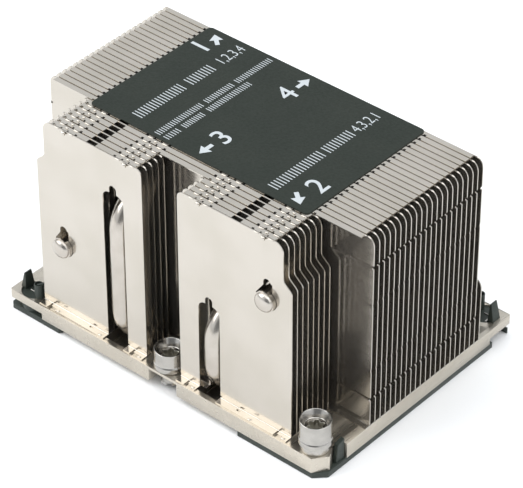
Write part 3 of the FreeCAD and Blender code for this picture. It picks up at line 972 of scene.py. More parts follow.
    def cuts(self, stations: Stations, locks: list[float], windows: list[float]) -> list[Cut]:
        """Everything that is cut out of the sheet, from left to right.

        Args:
            stations: the sheet's section.
            locks: X of the lock clusters.
            windows: X of the windows in the wings.
        Returns:
            The cuts.
        """
        cuts = [self.pipe_cut(pipe, stations) for pipe in self.pipes
                if self.holds(pipe.x) and self.high[2] >= pipe.arm_z + self.hole_radius]
        if self.first:
            cuts += self.foot_cuts(stations)
        else:
            nearest = np.minimum(stations.reach[:-1], stations.reach[1:])
            farthest = np.maximum(stations.reach[:-1], stations.reach[1:])
            at_edge = farthest > stations.reach[-1] - self.notch_reach
            cuts += [Cut(x, self.window / 2, nearest > -0.5) for x in windows
                     if self.wing and self.holds(x, 4.0)]
            cuts += [Cut(x + shift, half, at_edge)
                     for x in self.locks(locks) for shift, half in self.notches
                     if abs(shift) < 3 or self.low[0] + self.notch_room < x + shift
                     < self.high[0] - 1]
        return sorted(cuts, key=lambda cut: float(np.mean(cut.middle)))

    def jog(self, stations: Stations) -> Array:
        """How far each station of the side edge is pressed out of the web.

        Round every dimple's height the depth follows the square of a cosine.
        """
        off = (stations.z[:, None] - np.array(self.jog_heights)) / self.jog_half
        wave = np.where(np.abs(off) < 1, np.cos(np.clip(off, -1, 1) * QUARTER) ** 2, 0)
        depth = (wave * np.array(self.jog_shares)).sum(axis=1)
        return self.jog_reach * depth * (stations.normal_y > 0.99)

    def build(self, locks: list[float], windows: list[float]) -> Shape:
        """Build the sheet as two offset surfaces with a rim.

        The middle surface is x = a line between two edges, (y, z) = the bent section. The two
        faces lie half a thickness to each side along the section's normal. Columns follow the
        cuts' edges; the cells inside a cut are left out, and every border of a kept cell gets a
        rim quad.

        Args:
            locks: X of the lock clusters.
            windows: X of the windows in the wings.
        Returns:
            The sheet.
        """
        stations = self.stations()
        count = len(stations.y)
        left, right = self.edge(stations, -1), self.edge(stations, 1)
        margins = [0.0, self.jog_margin] if self.full else [0.0]
        whole = np.zeros(count - 1, dtype=bool)
        columns, gone = [left + margin for margin in margins], [whole] * (len(margins) - 1)
        for cut in self.cuts(stations, locks, windows):
            columns += [cut.middle + side * cut.half_width + np.zeros(count) for side in (-1, 1)]
            gone += [whole, cut.missing]
        columns += [right - margin for margin in margins[::-1]]
        kept = ~np.stack(gone + [whole] * len(margins), axis=1)
        x = np.maximum.accumulate(np.stack(columns, axis=1), axis=1)
        x = np.minimum(x, right[:, None])
        y = np.repeat(stations.y[:, None], x.shape[1], axis=1)
        if self.full:
            jog = self.jog(stations)
            y[:, [0, -1]] -= jog[:, None]
            x[:, 0] += jog / 2
            x[:, -1] -= jog / 2
        middle = np.stack([x, y, np.broadcast_to(stations.z[:, None], x.shape)], axis=-1)
        lift = self.thickness / 2 * np.stack(
            [np.zeros(count), stations.normal_y, stations.normal_z], axis=-1)[:, None]
        cells = grid_faces(count, x.shape[1])[kept.ravel()]
        return Shape(np.concatenate([middle + lift, middle - lift]).reshape(-1, 3),
                     [cells, cells[:, ::-1] + x.size, rim_faces(kept)])


def pillows(places: list[tuple[float, float, float]], half_sizes: tuple[float, float, float]
            ) -> Shape:
    """Low rounded block at each place: rings of a superellipse that shrink as they rise.

    Args:
        places: middle of each block's underside.
        half_sizes: half length, half width and height.
    Returns:
        All blocks.
    """
    turn = np.linspace(0, 2 * math.pi, 8, endpoint=False) + math.pi / 8
    ring = signed_power(np.stack([np.cos(turn), np.sin(turn)], axis=1), 0.5)
    size, lift = np.array([(1.0, -0.6), (1.0, 0.25), (0.86, 0.65), (0.6, 0.92), (0.02, 1.0)]).T
    rings = np.concatenate([ring[None] * size[:, None, None],
                            np.broadcast_to(lift[:, None, None], (5, 8, 1))], axis=-1)
    block = Shape((rings * half_sizes).reshape(-1, 3), [grid_faces(5, 8, closed=True)])
    return block.repeated(np.array(places))


@dataclass
class FinStack:
    """All folded sheets, with the small tabs that lock each one to the next.

    Attributes:
        pipes: the heat pipes that cross the stack.
        locks: X of the four lock clusters.
        windows: X of the two rows of square windows in the wings.
        foot_pads: X of the solder pads on the first sheet's foot.
        seam_inset: how far a seam's bars lie inside the back of the fold.
        plate_margin: how far in front of the instruction plate a seam already counts as covered.
        pad_inset: distance from the foot's edge to the middle of a solder pad.
        bar_shifts: X of a lock's two bars from its middle.
        tongue_gap: distance from the bars to the tongue in front of them.
        hook_place: hook on the first sheet, from the lock's X, the foot's edge and the top.
        pad_size: half length, half width and height of a solder pad.
        bar_size: the same of a bar.
        tongue_size: the same of a tongue.
        hook_size: the same of a hook.
    """
    pipes: list[HeatPipe]
    locks: list[float] = field(default_factory=lambda: [-33.5, -12.6, 11.9, 32.9])
    windows: list[float] = field(default_factory=lambda: [-24.4, 23.8])
    foot_pads: tuple[float, ...] = (-37.3, -22.2, -8.3, 10.4, 29.5, 40.7)
    seam_inset: float = 0.42
    plate_margin: float = 0.3
    pad_inset: float = 0.5
    bar_shifts: tuple[float, float] = (-2.3, 2.5)
    tongue_gap: float = 0.6
    hook_place: tuple[float, float, float] = (0.2, 1.6, -0.5)
    pad_size: tuple[float, float, float] = (0.6, 0.36, 0.16)
    bar_size: tuple[float, float, float] = (0.9, 0.26, 0.24)
    tongue_size: tuple[float, float, float] = (0.45, 0.32, 0.34)
    hook_size: tuple[float, float, float] = (0.7, 0.4, 0.62)

    def sheets(self) -> list[FoldedSheet]:
        """All sheets, from the near face to the far one."""
        return [FoldedSheet(node, self.pipes) for node in sorted(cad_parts)
                if node.startswith("fin_")]

    def lock_tabs(self, sheets: list[FoldedSheet]) -> Shape:
        """Bars across each seam and a pressed tongue in front of it, where no plate covers them.

        Args:
            sheets: all sheets, the outermost one first.
        Returns:
            All locks, and the solder pads on the first sheet's foot.
        """
        plate_low, plate_high = box_mm("instruction_plate")
        bars, tongues, hooks = [], [], []
        hook_x, hook_y, hook_z = self.hook_place
        for sheet in sheets:
            top, seam = sheet.high[2], sheet.high[1] - self.seam_inset
            covered = plate_low[1] - self.plate_margin < seam < plate_high[1]
            for x in sheet.locks(self.locks):
                if covered and plate_low[0] < x < plate_high[0]:
                    continue
                bars += [(x + shift, seam, top) for shift in self.bar_shifts]
                if sheet.first:
                    hooks.append((x + hook_x, sheet.low[1] + hook_y, top + hook_z))
                else:
                    tongues.append((x, seam - self.tongue_gap, top))
        first = sheets[0]
        pad_y, pad_z = first.low[1] + self.pad_inset, first.low[2] + first.thickness
        pads = [(x, pad_y, pad_z) for x in self.foot_pads]
        return Shape.joined([pillows(pads, self.pad_size), pillows(bars, self.bar_size),
                             pillows(tongues, self.tongue_size),
                             pillows(hooks, self.hook_size)])

    def dress(self, coat: Coat) -> None:
        """Build every sheet and the locks."""
        sheets = self.sheets()
        for sheet in sheets:
            name = sheet.node.replace("fin", "sheet")
            coat.put_on(sheet.build(self.locks, self.windows).piece(name, 40.0), sheet.node)
        LOG.info("fins: %d sheets", len(sheets))
        coat.put_on(self.lock_tabs(sheets).piece("fold_locks", 50.0))
        LOG.info("fins: locks")


# ---------------------------------------------------------------- nuts and sleeves

@dataclass
class CaptiveNut:
    """Cup-headed captive nut with a six-lobed socket.

    Attributes:
        number: which nut; its CAD body is nut_<number>.
        rim: width of the flat rim.
        cup_depth: depth of the conical cup.
        floor_radius: radius of the cup's floor.
        socket: mean radius of the lobed socket.
        socket_depth: depth of the socket.
        lobe_depth: depth of its lobes, as a share of the radius.
        band_height: height of the slightly wider foot of the head.
        band_radius: radius of that foot.
        upper_radius: radius of the head above it.
        head_height: height of the head down to its seat.
        corner_skirt: how far the two corner heads reach down over their sleeves.
        corner_x: a head further out than this along X is a corner head.
        shank: radius of the shank.
        flare: radius of its flared end.
        bore: radius of the threaded bore.
        bore_depth: depth of that bore.
    """
    number: int
    rim: float = 0.28
    cup_depth: float = 2.2
    floor_radius: float = 2.95
    socket: float = 2.05
    socket_depth: float = 1.5
    lobe_depth: float = 0.19
    band_height: float = 1.6
    band_radius: float = 4.36
    upper_radius: float = 4.14
    head_height: float = 5.8
    corner_skirt: float = 1.4
    corner_x: float = 40.0
    shank: float = 2.3
    flare: float = 2.62
    bore: float = 1.6
    bore_depth: float = 6.0

    def profile(self, end: float, top: float, skirt: float) -> Array:
        """Profile from the middle of the socket's floor over the rim down to the bore's floor.

        Args:
            end: height of the shank's end.
            top: height of the rim.
            skirt: extra height of the head's foot.
        Returns:
            Rows of radius, height and waviness.
        """
        seat = top - self.head_height - skirt
        outer, band, step = self.upper_radius, self.band_radius, seat + self.band_height
        floor = top - self.cup_depth
        deep, wave = floor - self.socket_depth, self.lobe_depth
        lobed = [(POLE_MM, deep, 0.0), (self.socket * 0.9, deep, wave),
                 (self.socket * 0.96, deep + 0.15, wave), (self.socket * 0.96, floor - 0.12, wave),
                 (self.socket * 1.02, floor, wave - 0.01)]
        plain = [(self.floor_radius - 0.1, floor), (self.floor_radius, floor + 0.08),
                 (outer - self.rim - 0.06, top - 0.1), (outer - self.rim, top - 0.03),
                 (outer - self.rim + 0.06, top), (outer - 0.08, top), (outer, top - 0.08),
                 (outer, step + 0.3), (outer + 0.03, step + 0.2), (band - 0.04, step - 0.02),
                 (band, step - 0.1), (band, seat + 0.12), (band - 0.12, seat), (self.shank, seat),
                 (self.shank, end + 0.5), (self.flare, end), (self.bore, end),
                 (self.bore, end + self.bore_depth), (POLE_MM, end + self.bore_depth)]
        return np.array(lobed + [(*row, 0.0) for row in plain])

    def dress(self, coat: Coat, socket_shade_coat: Coat) -> None:
        """Build the nut on its own body, with the socket in a darker finish of its own, painted
        shade.

        Args:
            coat: finish of the nut.
            socket_shade_coat: finish of the faces below the cup's floor, painted darker as shade.
        """
        node, body = f"captive_nut_{self.number}", f"nut_{self.number}"
        low, high = box_mm(node)
        centre = (low + high) / 2
        at_corner = abs(low[0]) > self.corner_x
        table = self.profile(low[2], high[2], self.corner_skirt if at_corner else 0.0)
        turned = lathe(table[:, :2], tuple(centre[:2]), table[:, 2])
        piece = turned.piece(f"nut_head_{self.number}", 25.0)
        coat.put_on(piece, node, body=body)
        # Second material: the nut's steel painted darker as shade in the socket.
        piece.data.materials.append(socket_shade_coat.material)
        middles = np.empty(len(piece.data.polygons) * 3)
        piece.data.polygons.foreach_get("center", middles)
        away = middles.reshape(-1, 3) / MM - (*centre[:2], high[2])
        # Faces deep in the socket take the darker steel, painted shade.
        in_shaded_socket = ((np.hypot(away[:, 0], away[:, 1]) < self.floor_radius - 0.3)
                     & (away[:, 2] < -self.cup_depth - 0.02)
                     & (away[:, 2] > -self.head_height + 0.5))
        piece.data.polygons.foreach_set("material_index", in_shaded_socket.astype(np.int32))
        LOG.info("nut %d: head on %s", self.number, body)


@dataclass
class CornerSleeves:
    """The two turned sleeves under the corner nuts.

    Attributes:
        radius: outer radius of a sleeve.
        wall: thickness of its wall.
        edge: width of its broken edges.
        clearance: how far it stops below the CAD sleeve, to leave room for the nut's skirt.
    """
    radius: float = 3.8
    wall: float = 1.25
    edge: float = 0.15
    clearance: float = 1.42

    def dress(self, coat: Coat) -> None:
        """Turn both sleeves and join them in one piece."""
        low, high = box_mm("corner_sleeves")
        outer, edge, inner = self.radius, self.edge, self.radius - self.wall
        top, bottom = high[2] - self.clearance, low[2]
        profile = np.array([(inner, bottom), (outer - edge, bottom), (outer, bottom + edge),
                            (outer, top - edge), (outer - edge, top), (inner, top),
                            (inner, bottom)])
        both = Shape.joined([lathe(profile, (high[0] - outer, low[1] + outer)),
                             lathe(profile, (low[0] + outer, high[1] - outer))])
        coat.put_on(both.piece("turned_sleeves"), "corner_sleeves")
        LOG.info("sleeves: both on %s", ROOT_BODY)


# ---------------------------------------------------------------- base, carrier and plate

@dataclass
class BasePlate:
    """Milled base: the CAD solid with its edges broken.

    Attributes:
        edge: width of the broken edges.
        turn: edges that turn more than this many degrees are broken.
    """
    edge: float = 0.18
    turn: float = 30.0

    def dress(self, coat: Coat) -> None:
        """Copy the CAD base and break its edges."""
        work = bmesh.new()
        work.from_mesh(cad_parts["base_plate"].data)
        bmesh.ops.remove_doubles(work, verts=work.verts, dist=1e-6)
        coat.put_on(eased(work, "milled_base", self.edge, self.turn), "base_plate")
        LOG.info("base: milled plate")


def cut_plate(outlines: list[Array], low: float, high: float) -> bmesh.types.BMesh:
    """Flat plate with openings: the first outline is its edge, the others are cut out of it.

    Args:
        outlines: closed outlines in X and Y.
        low: height of the underside.
        high: height of the top.
    Returns:
        The plate as a working mesh.
    """
    work = bmesh.new()
    for outline in outlines:
        ring = [work.verts.new((x * MM, y * MM, low * MM)) for x, y in outline]
        for ends in zip(ring, ring[1:] + ring[:1]):
            work.edges.new(ends)
    bmesh.ops.triangle_fill(work, use_beauty=True, edges=work.edges)
    raised = bmesh.ops.extrude_face_region(work, geom=work.faces[:], use_keep_orig=True)
    upper = [item for item in raised["geom"] if isinstance(item, bmesh.types.BMVert)]
    bmesh.ops.translate(work, vec=(0, 0, (high - low) * MM), verts=upper)
    bmesh.ops.recalc_face_normals(work, faces=work.faces)
    return work


@dataclass
class ProcessorCarrier:
    """Moulded frame under the base, with a post and a latch on each of two opposite corners.

    A post is an open wall with a hollow boss towards the fins, and a blade on the outside.

    Attributes:
        thickness: thickness of the frame.
        limit: outermost X and Y of the frame.
        waist: Y of the long sides between the corners.
        window: half length and half width of the processor window.
        stud: X and Y of the near corner nut's stud, and the radius of its hole.
        post: X and Y of the near post's axis.
        outer: outer radius of the post.
        bore: radius of the hole in the base round the post.
        bore_shift: how far the hole's middle lies outside the post's axis, along Y.
        base_top: height of the top of the base.
        root: how far below the top of the base the wall and the clip begin.
        pillar_turn: half the angle in degrees that the wall towards the fins spans.
        pillar_wall: thickness of that wall.
        pillar_top: top of that wall.
        boss: middle of the hollow boss inside that wall, from the post's axis.
        boss_radius: its outer radius.
        boss_wall: thickness of its wall.
        blade_y: Y of the blade: outer edge, inner edge at its foot and inner edge at its top.
        blade_x: X of the blade's outer face at its foot and at its top, and of its inner face.
        blade_top: top of the blade.
        latch_x: X of the latch's inner and outer face.
        edge: width of the broken edges.
        turn: edges of the frame that turn more than this many degrees are broken.
    """
    thickness: float = 1.8
    limit: tuple[float, float] = (53.95, 38.9)
    waist: float = 31.2
    window: tuple[float, float] = (40.0, 28.5)
    stud: tuple[float, float, float] = (48.6, -34.7, 2.6)
    post: tuple[float, float] = (-48.4, -34.2)
    outer: float = 4.4
    bore: float = 3.75
    bore_shift: float = 0.8
    base_top: float = 6.4
    root: float = 1.3
    pillar_turn: float = 47.0
    pillar_wall: float = 0.6
    pillar_top: float = 11.0
    boss: tuple[float, float] = (2.8, -2.3)
    boss_radius: float = 1.25
    boss_wall: float = 0.3
    blade_y: tuple[float, float, float] = (-36.25, -32.9, -33.9)
    blade_x: tuple[float, float, float] = (-52.8, -51.15, -50.8)
    blade_top: float = 11.45
    latch_x: tuple[float, float] = (52.0, 53.35)
    edge: float = 0.14
    turn: float = 52.0

    def plan(self) -> Array:
        """Edge of the frame: full width at the corners, waisted between, with a thin end lip."""
        x, y = self.limit
        half = np.array([(-x + 0.6, -y), (-36.6, -y), (-36.0, -y + 0.6), (-36.0, -self.waist),
                         (25.8, -self.waist), (25.8, -y + 0.6), (26.4, -y), (x - 3.0, -y),
                         (x, -y + 3.0), (x, 31.4), (x - 2.6, 31.4), (x - 2.6, y - 0.5),
                         (x - 0.5, y - 0.5)])
        return np.concatenate([half, -half[:9], [(-x, -31.4), (-x, -y + 0.6)]])

    def frame_plate(self) -> bpy.types.Object:
        """Flat frame with the processor window and the two stud holes."""
        window = np.array([(-1, -1), (-1, 1), (1, 1), (1, -1)]) * self.window
        x, y, radius = self.stud
        outlines = [self.plan(), window, circle(radius, (x, y)), circle(radius, (-x, -y))]
        return eased(cut_plate(outlines, 0.0, self.thickness), "carrier_frame", self.edge,
                     self.turn)

    def post_body(self) -> Shape:
        """One post: core, wall and hollow boss towards the fins, and tapering blade outside."""
        x, y = self.post
        core = soft_prism(circle(self.bore + 0.15, (x, y - self.bore_shift)),
                          self.thickness - 0.1, self.base_top - 0.45, self.edge)
        turns = np.radians(np.linspace(-self.pillar_turn, self.pillar_turn, 20))
        wall = arc_wall(self.post, (self.outer - self.pillar_wall, self.outer), turns,
                        self.base_top - self.root, self.pillar_top, 0.1)
        outer, inner = self.boss_radius, self.boss_radius - self.boss_wall
        top, foot, soft = self.pillar_top - 0.25, self.base_top - 1.0, 0.06
        profile = np.array([(POLE_MM, foot), (outer, foot), (outer, top - soft),
                            (outer - soft, top), (inner + soft, top), (inner, top - soft),
                            (inner, top - 3.0), (POLE_MM, top - 3.0)])
        boss = lathe(profile, (x + self.boss[0], y + self.boss[1]), sides=28)
        return Shape.joined([core, wall, boss, self.blade()])

    def blade(self) -> Shape:
        """Outer blade: a trapezoid whose outer face leans in while its inner face stands upright.

        Each point's X moves in by the lean times its height's share of the slope and its own
        share of the thickness.
        """
        foot, top = self.base_top - 1.0, self.blade_top
        outer_y, foot_y, top_y = self.blade_y
        side = np.array([(outer_y, foot), (foot_y, foot), (foot_y, self.base_top + 0.2),
                         (top_y, top), (outer_y, top)])
        foot_x, top_x, inner_x = self.blade_x
        shape = soft_prism(side, foot_x, inner_x, 0.08, (1, 2, 0))
        slope = self.base_top + 0.4
        rise = np.clip((shape.points[:, 2] - slope) / (top - slope), 0, 1)
        share = (inner_x - shape.points[:, 0]) / (inner_x - foot_x)
        shape.points[:, 0] += (top_x - foot_x) * rise * share
        return shape

    def seat_ring(self) -> Shape:
        """Flat ring of the base round the post, from the bore to the CAD base's wider hole.

        Its inner edge is moved along Y by the bore's shift, its outer edge stays, and between
        them the shift falls with the radius.
        """
        wide, bore, top = self.outer + 0.4, self.bore, self.base_top + 0.01
        profile = np.array([(bore, top - 0.9), (wide, top - 0.9), (wide, top), (bore + 0.15, top),
                            (bore, top - 0.12), (bore, top - 0.9)])
        shape = lathe(profile, self.post)
        radius = np.hypot(*(shape.points[:, :2] - self.post).T)
        shape.points[:, 1] -= self.bore_shift * np.clip((wide - radius) / (wide - bore - 0.15),
                                                        0, 1)
        return shape

    def clip(self) -> Shape:
        """Bent steel clip at the bottom of the bore: two short bars."""
        bars = [np.array([(-1.4, -1.35), (0.5, -1.35), (0.5, -1.1), (-1.4, -1.1)]),
                np.array([(-2.2, 0.2), (-1.7, 0.2), (-1.7, 1.6), (-2.2, 1.6)])]
        return Shape.joined([soft_prism(bar + self.post, self.base_top - self.root,
                                        self.base_top - 0.2, 0.05) for bar in bars])

    def latch(self) -> Shape:
        """One latch: upright plate in the base's notch, with a sloping side and top."""
        side = np.array([(-32.1, 0.2), (-28.95, 0.2), (-28.95, 8.0), (-31.5, 7.2), (-32.1, 2.6)])
        return soft_prism(side, *self.latch_x, self.edge, (1, 2, 0))

    def dress(self, coat: Coat, base_coat: Coat, clip_coat: Coat) -> None:
        """Build the frame, both posts with their seats and clips, and both latches.

        Args:
            coat: finish of the moulded pieces.
            base_coat: finish of the seats, which belong to the base.
            clip_coat: finish of the clips.
        """
        coat.put_on(self.frame_plate(), "processor_carrier")
        for name, shape, own in (("post_seat", self.seat_ring(), base_coat),
                                 ("post_clip", self.clip(), clip_coat),
                                 ("carrier_post", self.post_body(), coat),
                                 ("carrier_latch", self.latch(), coat)):
            own.put_on(shape.piece(f"{name}_1"))
            own.put_on(shape.half_turned().piece(f"{name}_2"))
        LOG.info("carrier: frame, posts and latches")


@dataclass(frozen=True)
class TickRow:
    """Row of plain printed ticks.

    Attributes:
        x: X of the row's middle.
        height: length of a tick, along X.
        groups: first and last Y of each group of ticks.
        pitch: distance from tick to tick.
        width: width of a tick.
    """
    x: float
    height: float
    groups: list[tuple[float, float]]
    pitch: float
    width: float

    def places(self) -> Array:
        """Middle of every tick: equal steps along Y within each group."""
        y = np.concatenate([np.linspace(start, end, max(2, round((end - start) / self.pitch) + 1))
                            for start, end in self.groups])
        return np.column_stack([np.full(len(y), self.x), y, np.zeros(len(y))])


@dataclass(frozen=True)
class PrintedNumber:
    """Plain number or row of numbers, with its top towards -X.

    Attributes:
        name: name of the piece.
        text: what it says.
        place: X and Y of its middle.
        height: height of a digit.
        width: length of the whole row, or 0 for the digits' own width.
    """
    name: str
    text: str
    place: tuple[float, float]
    height: float = 6.0
    width: float = 0.0


@dataclass
class InstructionPlate:
    """Printed film on the top folds, with plain numbers, arrows and rows of ticks.

    Attributes:
        sink: how far the film's face lies below the top of its CAD node, so that the ink fits in.
        ink: thickness of the ink.
        lap: how far the ink reaches into the film.
        corner: radius of the film's corners.
        capital_share: height of a digit beside the size of its type.
        numbers: plain numbers, one by each nut and the order of the four.
        arrows: for each arrow, the X and Y of its tail and of its tip.
        arrow_stem: half width of an arrow's stem, and its length as a share of the arrow.
        arrow_head: half width of its head.
        rows: rows of plain ticks.
    """
    sink: float = 0.04
    ink: float = 0.03
    lap: float = 0.01
    corner: float = 1.2
    capital_share: float = 0.70
    numbers: list[PrintedNumber] = field(default_factory=lambda: [
        PrintedNumber("number_1", "1", (-32.1, 14.2)),
        PrintedNumber("number_4", "4", (-1.0, 12.5)),
        PrintedNumber("number_3", "3", (-0.9, -12.8)),
        PrintedNumber("number_2", "2", (30.4, -12.8)),
        PrintedNumber("order_rising", "1,2,3,4", (-23.7, 16.2), 3.4, 8.6),
        PrintedNumber("order_falling", "4,3,2,1", (22.2, 15.8), 3.4, 8.8)])
    arrows: list[tuple[float, float, float, float]] = field(default_factory=lambda: [
        (-29.4, 17.6, -33.2, 20.7), (-1.0, 16.2, -1.0, 21.2), (-0.8, -16.7, -0.8, -21.6),
        (27.9, -18.2, 31.9, -21.3)])
    arrow_stem: tuple[float, float] = (0.6, 0.45)
    arrow_head: float = 1.85
    rows: list[TickRow] = field(default_factory=lambda: [
        TickRow(-23.7, 3.5, [(-19.5, -2.8), (0.0, 8.6)], 1.05, 0.3),
        TickRow(-14.5, 2.0, [(-22.0, -5.6), (-3.6, 6.2), (8.2, 21.2)], 0.8, 0.24),
        TickRow(-11.5, 2.0, [(-22.0, -17.6), (-15.4, -8.4), (-6.0, 9.5)], 0.8, 0.24),
        TickRow(22.2, 3.3, [(-20.2, -2.0), (0.0, 9.6)], 1.05, 0.3)])

    def film(self, low: Array, high: Array, face_z: float) -> Shape:
        """Film with round corners: four quarter circles joined by straight sides.

        Args:
            low: lowest corner of the CAD plate.
            high: highest corner of the CAD plate.
            face_z: height of the film's face.
        Returns:
            The film.
        """
        turns = (np.linspace(0, QUARTER, 7) + np.arange(4)[:, None] * QUARTER).ravel()
        corner = np.repeat([(1, 1), (-1, 1), (-1, -1), (1, -1)], 7, axis=0)
        half = (high[:2] - low[:2]) / 2 - self.corner
        outline = ((low[:2] + high[:2]) / 2 + corner * half
                   + self.corner * np.column_stack([np.cos(turns), np.sin(turns)]))
        return prism([(outline, low[2] + 0.01), (outline, face_z)])

    def arrow(self, tail_x: float, tail_y: float, tip_x: float, tip_y: float) -> Array:
        """Outline of a flat arrow: a straight stem, then a triangular head.

        Args:
            tail_x: X of the tail.
            tail_y: Y of the tail.
            tip_x: X of the tip.
            tip_y: Y of the tip.
        Returns:
            Rows of X and Y.
        """
        tail, tip = np.array([tail_x, tail_y]), np.array([tip_x, tip_y])
        along = (tip - tail) / np.linalg.norm(tip - tail)
        side = np.array([-along[1], along[0]])
        stem, share = self.arrow_stem
        neck = tail + (tip - tail) * share
        return np.array([tail - side * stem, neck - side * stem, neck - side * self.arrow_head, tip,
                         neck + side * self.arrow_head, neck + side * stem, tail + side * stem])

    def printed(self, outline: Array, face_z: float) -> Shape:
        """Layer of ink on an outline in X and Y."""
        return prism([(outline, face_z - self.lap), (outline, face_z + self.ink)])

    def digits(self, number: PrintedNumber, face_z: float) -> bpy.types.Object:
        """Thin mesh of a number, its row squeezed to the asked width.

        Args:
            number: what to print, and where.
            face_z: height of the film's face.
        Returns:
            The piece.
        """
        curve = bpy.data.curves.new(number.name, "FONT")
        curve.body = number.text
        curve.size = number.height * MM / self.capital_share
        curve.align_x = curve.align_y = "CENTER"
        curve.extrude = self.ink * MM / 2
        curve.offset = -0.04 * MM if number.width else 0.01 * MM * number.height
        source = linked("digit_source", curve)
        bpy.context.view_layer.update()
        mesh = bpy.data.meshes.new_from_object(source)
        squeeze = number.width * MM / source.dimensions.x if number.width else 1.0
        bpy.data.objects.remove(source)
        x, y = number.place
        place = Matrix.Translation(Vector((x, y, face_z + self.ink / 2)) * MM)
        turn = Matrix.Rotation(QUARTER, 4, "Z")
        mesh.transform(place @ turn @ Matrix.Diagonal((squeeze, 1, 1, 1)))
        return linked(number.name, mesh)

    def dress(self, film: Coat, ink: Coat) -> None:
        """Lay the film and print on it."""
        low, high = box_mm("instruction_plate")
        face_z = high[2] - self.sink
        film.put_on(self.film(low, high, face_z).piece("plate_film"), "instruction_plate")
        for number in self.numbers:
            ink.put_on(self.digits(number, face_z))
        for count, ends in enumerate(self.arrows, 1):
            ink.put_on(self.printed(self.arrow(*ends), face_z).piece(f"arrow_{count}"))
        corners = np.array([(-1, -1), (1, -1), (1, 1), (-1, 1)]) / 2
        for count, row in enumerate(self.rows, 1):
            tick = self.printed(corners * (row.height, row.width), face_z)
            ink.put_on(tick.repeated(row.places()).piece(f"tick_row_{count}"))
        LOG.info("plate: film, numbers, arrows and ticks")


# ---------------------------------------------------------------- studio

def toward(azimuth: float, elevation: float) -> Vector:
    """Direction from the part to a place around it; azimuth 0 stands on the near side."""
    a, e = math.radians(azimuth), math.radians(elevation)
    return Vector((math.sin(a) * math.cos(e), -math.cos(a) * math.cos(e), math.sin(e)))


@dataclass
class Camera:
    """Long lens looking down at the near right side of the part.

    Attributes:
        azimuth: direction it stands in, in degrees.
        elevation: degrees above the horizon.
        distance: from the aim to the lens, in millimetres.
        lens: focal length on a 36 mm sensor.
        roll: tilt of the camera in degrees.
        aim: millimetres to the right of and above the part's axis, as the camera sees them.
        aim_height: height on the axis from which those are measured.
    """
    azimuth: float = 40.922
    elevation: float = 37.642
    distance: float = 775.95
    lens: float = 205.86
    roll: float = -0.139
    aim: tuple[float, float] = (0.665, -6.646)
    aim_height: float = 34.0

    def place(self) -> None:
        """Make the camera and set it as the scene's own."""
        a, r = math.radians(self.azimuth), math.radians(self.roll)
        back = toward(self.azimuth, self.elevation)
        flat_right = Vector((math.cos(a), math.sin(a), 0))
        flat_up = back.cross(flat_right)
        right = flat_right * math.cos(r) + flat_up * math.sin(r)
        up = flat_up * math.cos(r) - flat_right * math.sin(r)
        aim = flat_right * self.aim[0] + flat_up * self.aim[1] + Vector((0, 0, self.aim_height))
        data = bpy.data.cameras.new("camera")
        data.lens, data.sensor_width = self.lens, 36.0
        data.clip_start, data.clip_end = 0.01, 20.0
        camera = linked("camera", data)
        turn = Matrix((right, up, back)).transposed().to_4x4()
        camera.matrix_world = Matrix.Translation((aim + back * self.distance) * MM) @ turn
        bpy.context.scene.camera = camera


@dataclass(frozen=True)
class Softbox:
    """One large soft lamp, aimed at the middle of the part.

    Attributes:
        name: name of the lamp.
        azimuth: direction it stands in, in degrees.
        elevation: degrees above the horizon.
        distance: metres from the part.
        size: metres across.
        power: watts.
    """
    name: str
    azimuth: float
    elevation: float
    distance: float
    size: tuple[float, float]
    power: float

    def place(self, target: Vector) -> None:
        """Make the lamp."""
        back = toward(self.azimuth, self.elevation)
        data = bpy.data.lights.new(self.name, "AREA")
        data.shape = "RECTANGLE"
        data.size, data.size_y = self.size
        data.energy = self.power
        lamp = linked(self.name, data)
        lamp.location = target + back * self.distance
        lamp.rotation_euler = (-back).to_track_quat("-Z", "Y").to_euler()


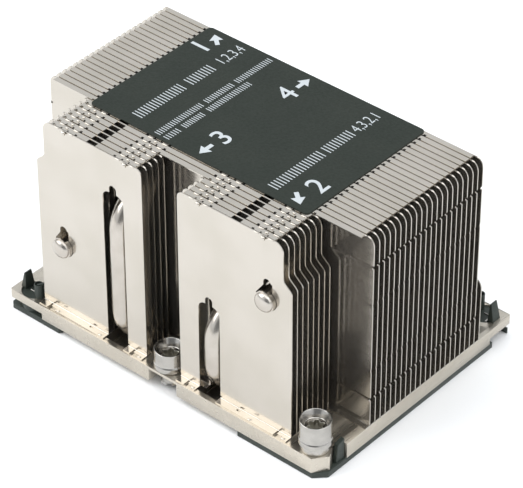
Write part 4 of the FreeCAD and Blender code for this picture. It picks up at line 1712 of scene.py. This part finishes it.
@dataclass
class Studio:
    """Pale floor, even white surroundings with a darker part behind the viewer, and soft lamps.

    Attributes:
        surround: colour of the surroundings.
        dark_side: azimuth and elevation of the middle of the darker part.
        dark_share: how much of the light is left there.
        dark_edge: cosines of the angles at which it begins and ends.
        floor_half: half width of the floor.
        floor_z: height of the floor, just clear of the part's underside.
        middle_m: height at which the lamps aim, in metres.
        lamps: the soft lamps.
    """
    surround: str = "#F7FBFF"
    dark_side: tuple[float, float] = (27.0, 12.0)
    dark_share: float = 0.3
    dark_edge: tuple[float, float] = (0.80, 0.95)
    floor_half: float = 3000.0
    floor_z: float = -0.02
    middle_m: float = 0.03
    lamps: list[Softbox] = field(default_factory=lambda: [
        Softbox("key", -48, 38, 0.9, (0.75, 0.6), 4.0),
        Softbox("fill", 95, 40, 1.0, (0.8, 0.8), 1.8),
        Softbox("top", 60, 80, 0.9, (1.0, 1.0), 3.3)])

    def floor(self) -> None:
        """Lay the floor."""
        half, z = self.floor_half, self.floor_z
        points = np.array([(-half, -half, z), (half, -half, z), (half, half, z), (-half, half, z)])
        floor = Shape(points, [np.array([[0, 1, 2, 3]])]).piece("floor")
        floor.data.materials.append(PALE_PAPER.build().material)

    def surroundings(self) -> None:
        """Light from all sides, less of it round the dark direction."""
        world = bpy.data.worlds.new("surround")
        world.use_nodes = True
        tree = world.node_tree
        tree.nodes.clear()
        way = add_node(tree, "ShaderNodeTexCoord").outputs["Generated"]
        nearness = add_node(tree, "ShaderNodeVectorMath", {0: way, 1: toward(*self.dark_side)},
                            operation="DOT_PRODUCT")
        light = add_node(tree, "ShaderNodeMapRange",
                         {"Value": nearness.outputs["Value"], "From Min": self.dark_edge[0],
                          "From Max": self.dark_edge[1], "To Min": 1.0,
                          "To Max": self.dark_share}, interpolation_type="SMOOTHSTEP")
        sky = add_node(tree, "ShaderNodeBackground",
                       {"Color": linear(self.surround), "Strength": light.outputs["Result"]})
        add_node(tree, "ShaderNodeOutputWorld", {"Surface": sky.outputs["Background"]})
        bpy.context.scene.world = world

    def build(self) -> None:
        """Lay the floor, set the surroundings and hang the lamps."""
        self.floor()
        self.surroundings()
        bpy.context.scene.view_settings.view_transform = "Standard"
        for lamp in self.lamps:
            lamp.place(Vector((0, 0, self.middle_m)))


# ---------------------------------------------------------------- build


def main() -> None:
    """Dress every sub-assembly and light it."""
    logging.basicConfig(level=logging.INFO, format="%(name)s %(message)s")
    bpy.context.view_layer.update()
    pipes = [HeatPipe(1, Bend.FAR), HeatPipe(2, Bend.NEAR), HeatPipe(3, Bend.NEAR),
             HeatPipe(4, Bend.FAR)]
    tube_coat = PLATED_PIPE.build()
    for pipe in pipes:
        pipe.dress(tube_coat)
    FinStack(pipes).dress(FIN_SHEET.build())
    # The socket's coat is the nut's steel painted darker as shade in the recess.
    nut_coat, socket_shade_coat = NUT_STEEL.build(), SOCKET_STEEL_PAINTED_SHADE.build()
    for number in (1, 2, 3, 4):
        CaptiveNut(number).dress(nut_coat, socket_shade_coat)
    sleeve_coat, base_coat = SLEEVE_STEEL.build(), MILLED_BASE.build()
    CornerSleeves().dress(sleeve_coat)
    BasePlate().dress(base_coat)
    ProcessorCarrier().dress(CARRIER_NYLON.build(), base_coat, sleeve_coat)
    InstructionPlate().dress(PLATE_FILM.build(), PLATE_INK.build())
    Studio().build()
    Camera().place()


if __name__ == "__main__":
    main()
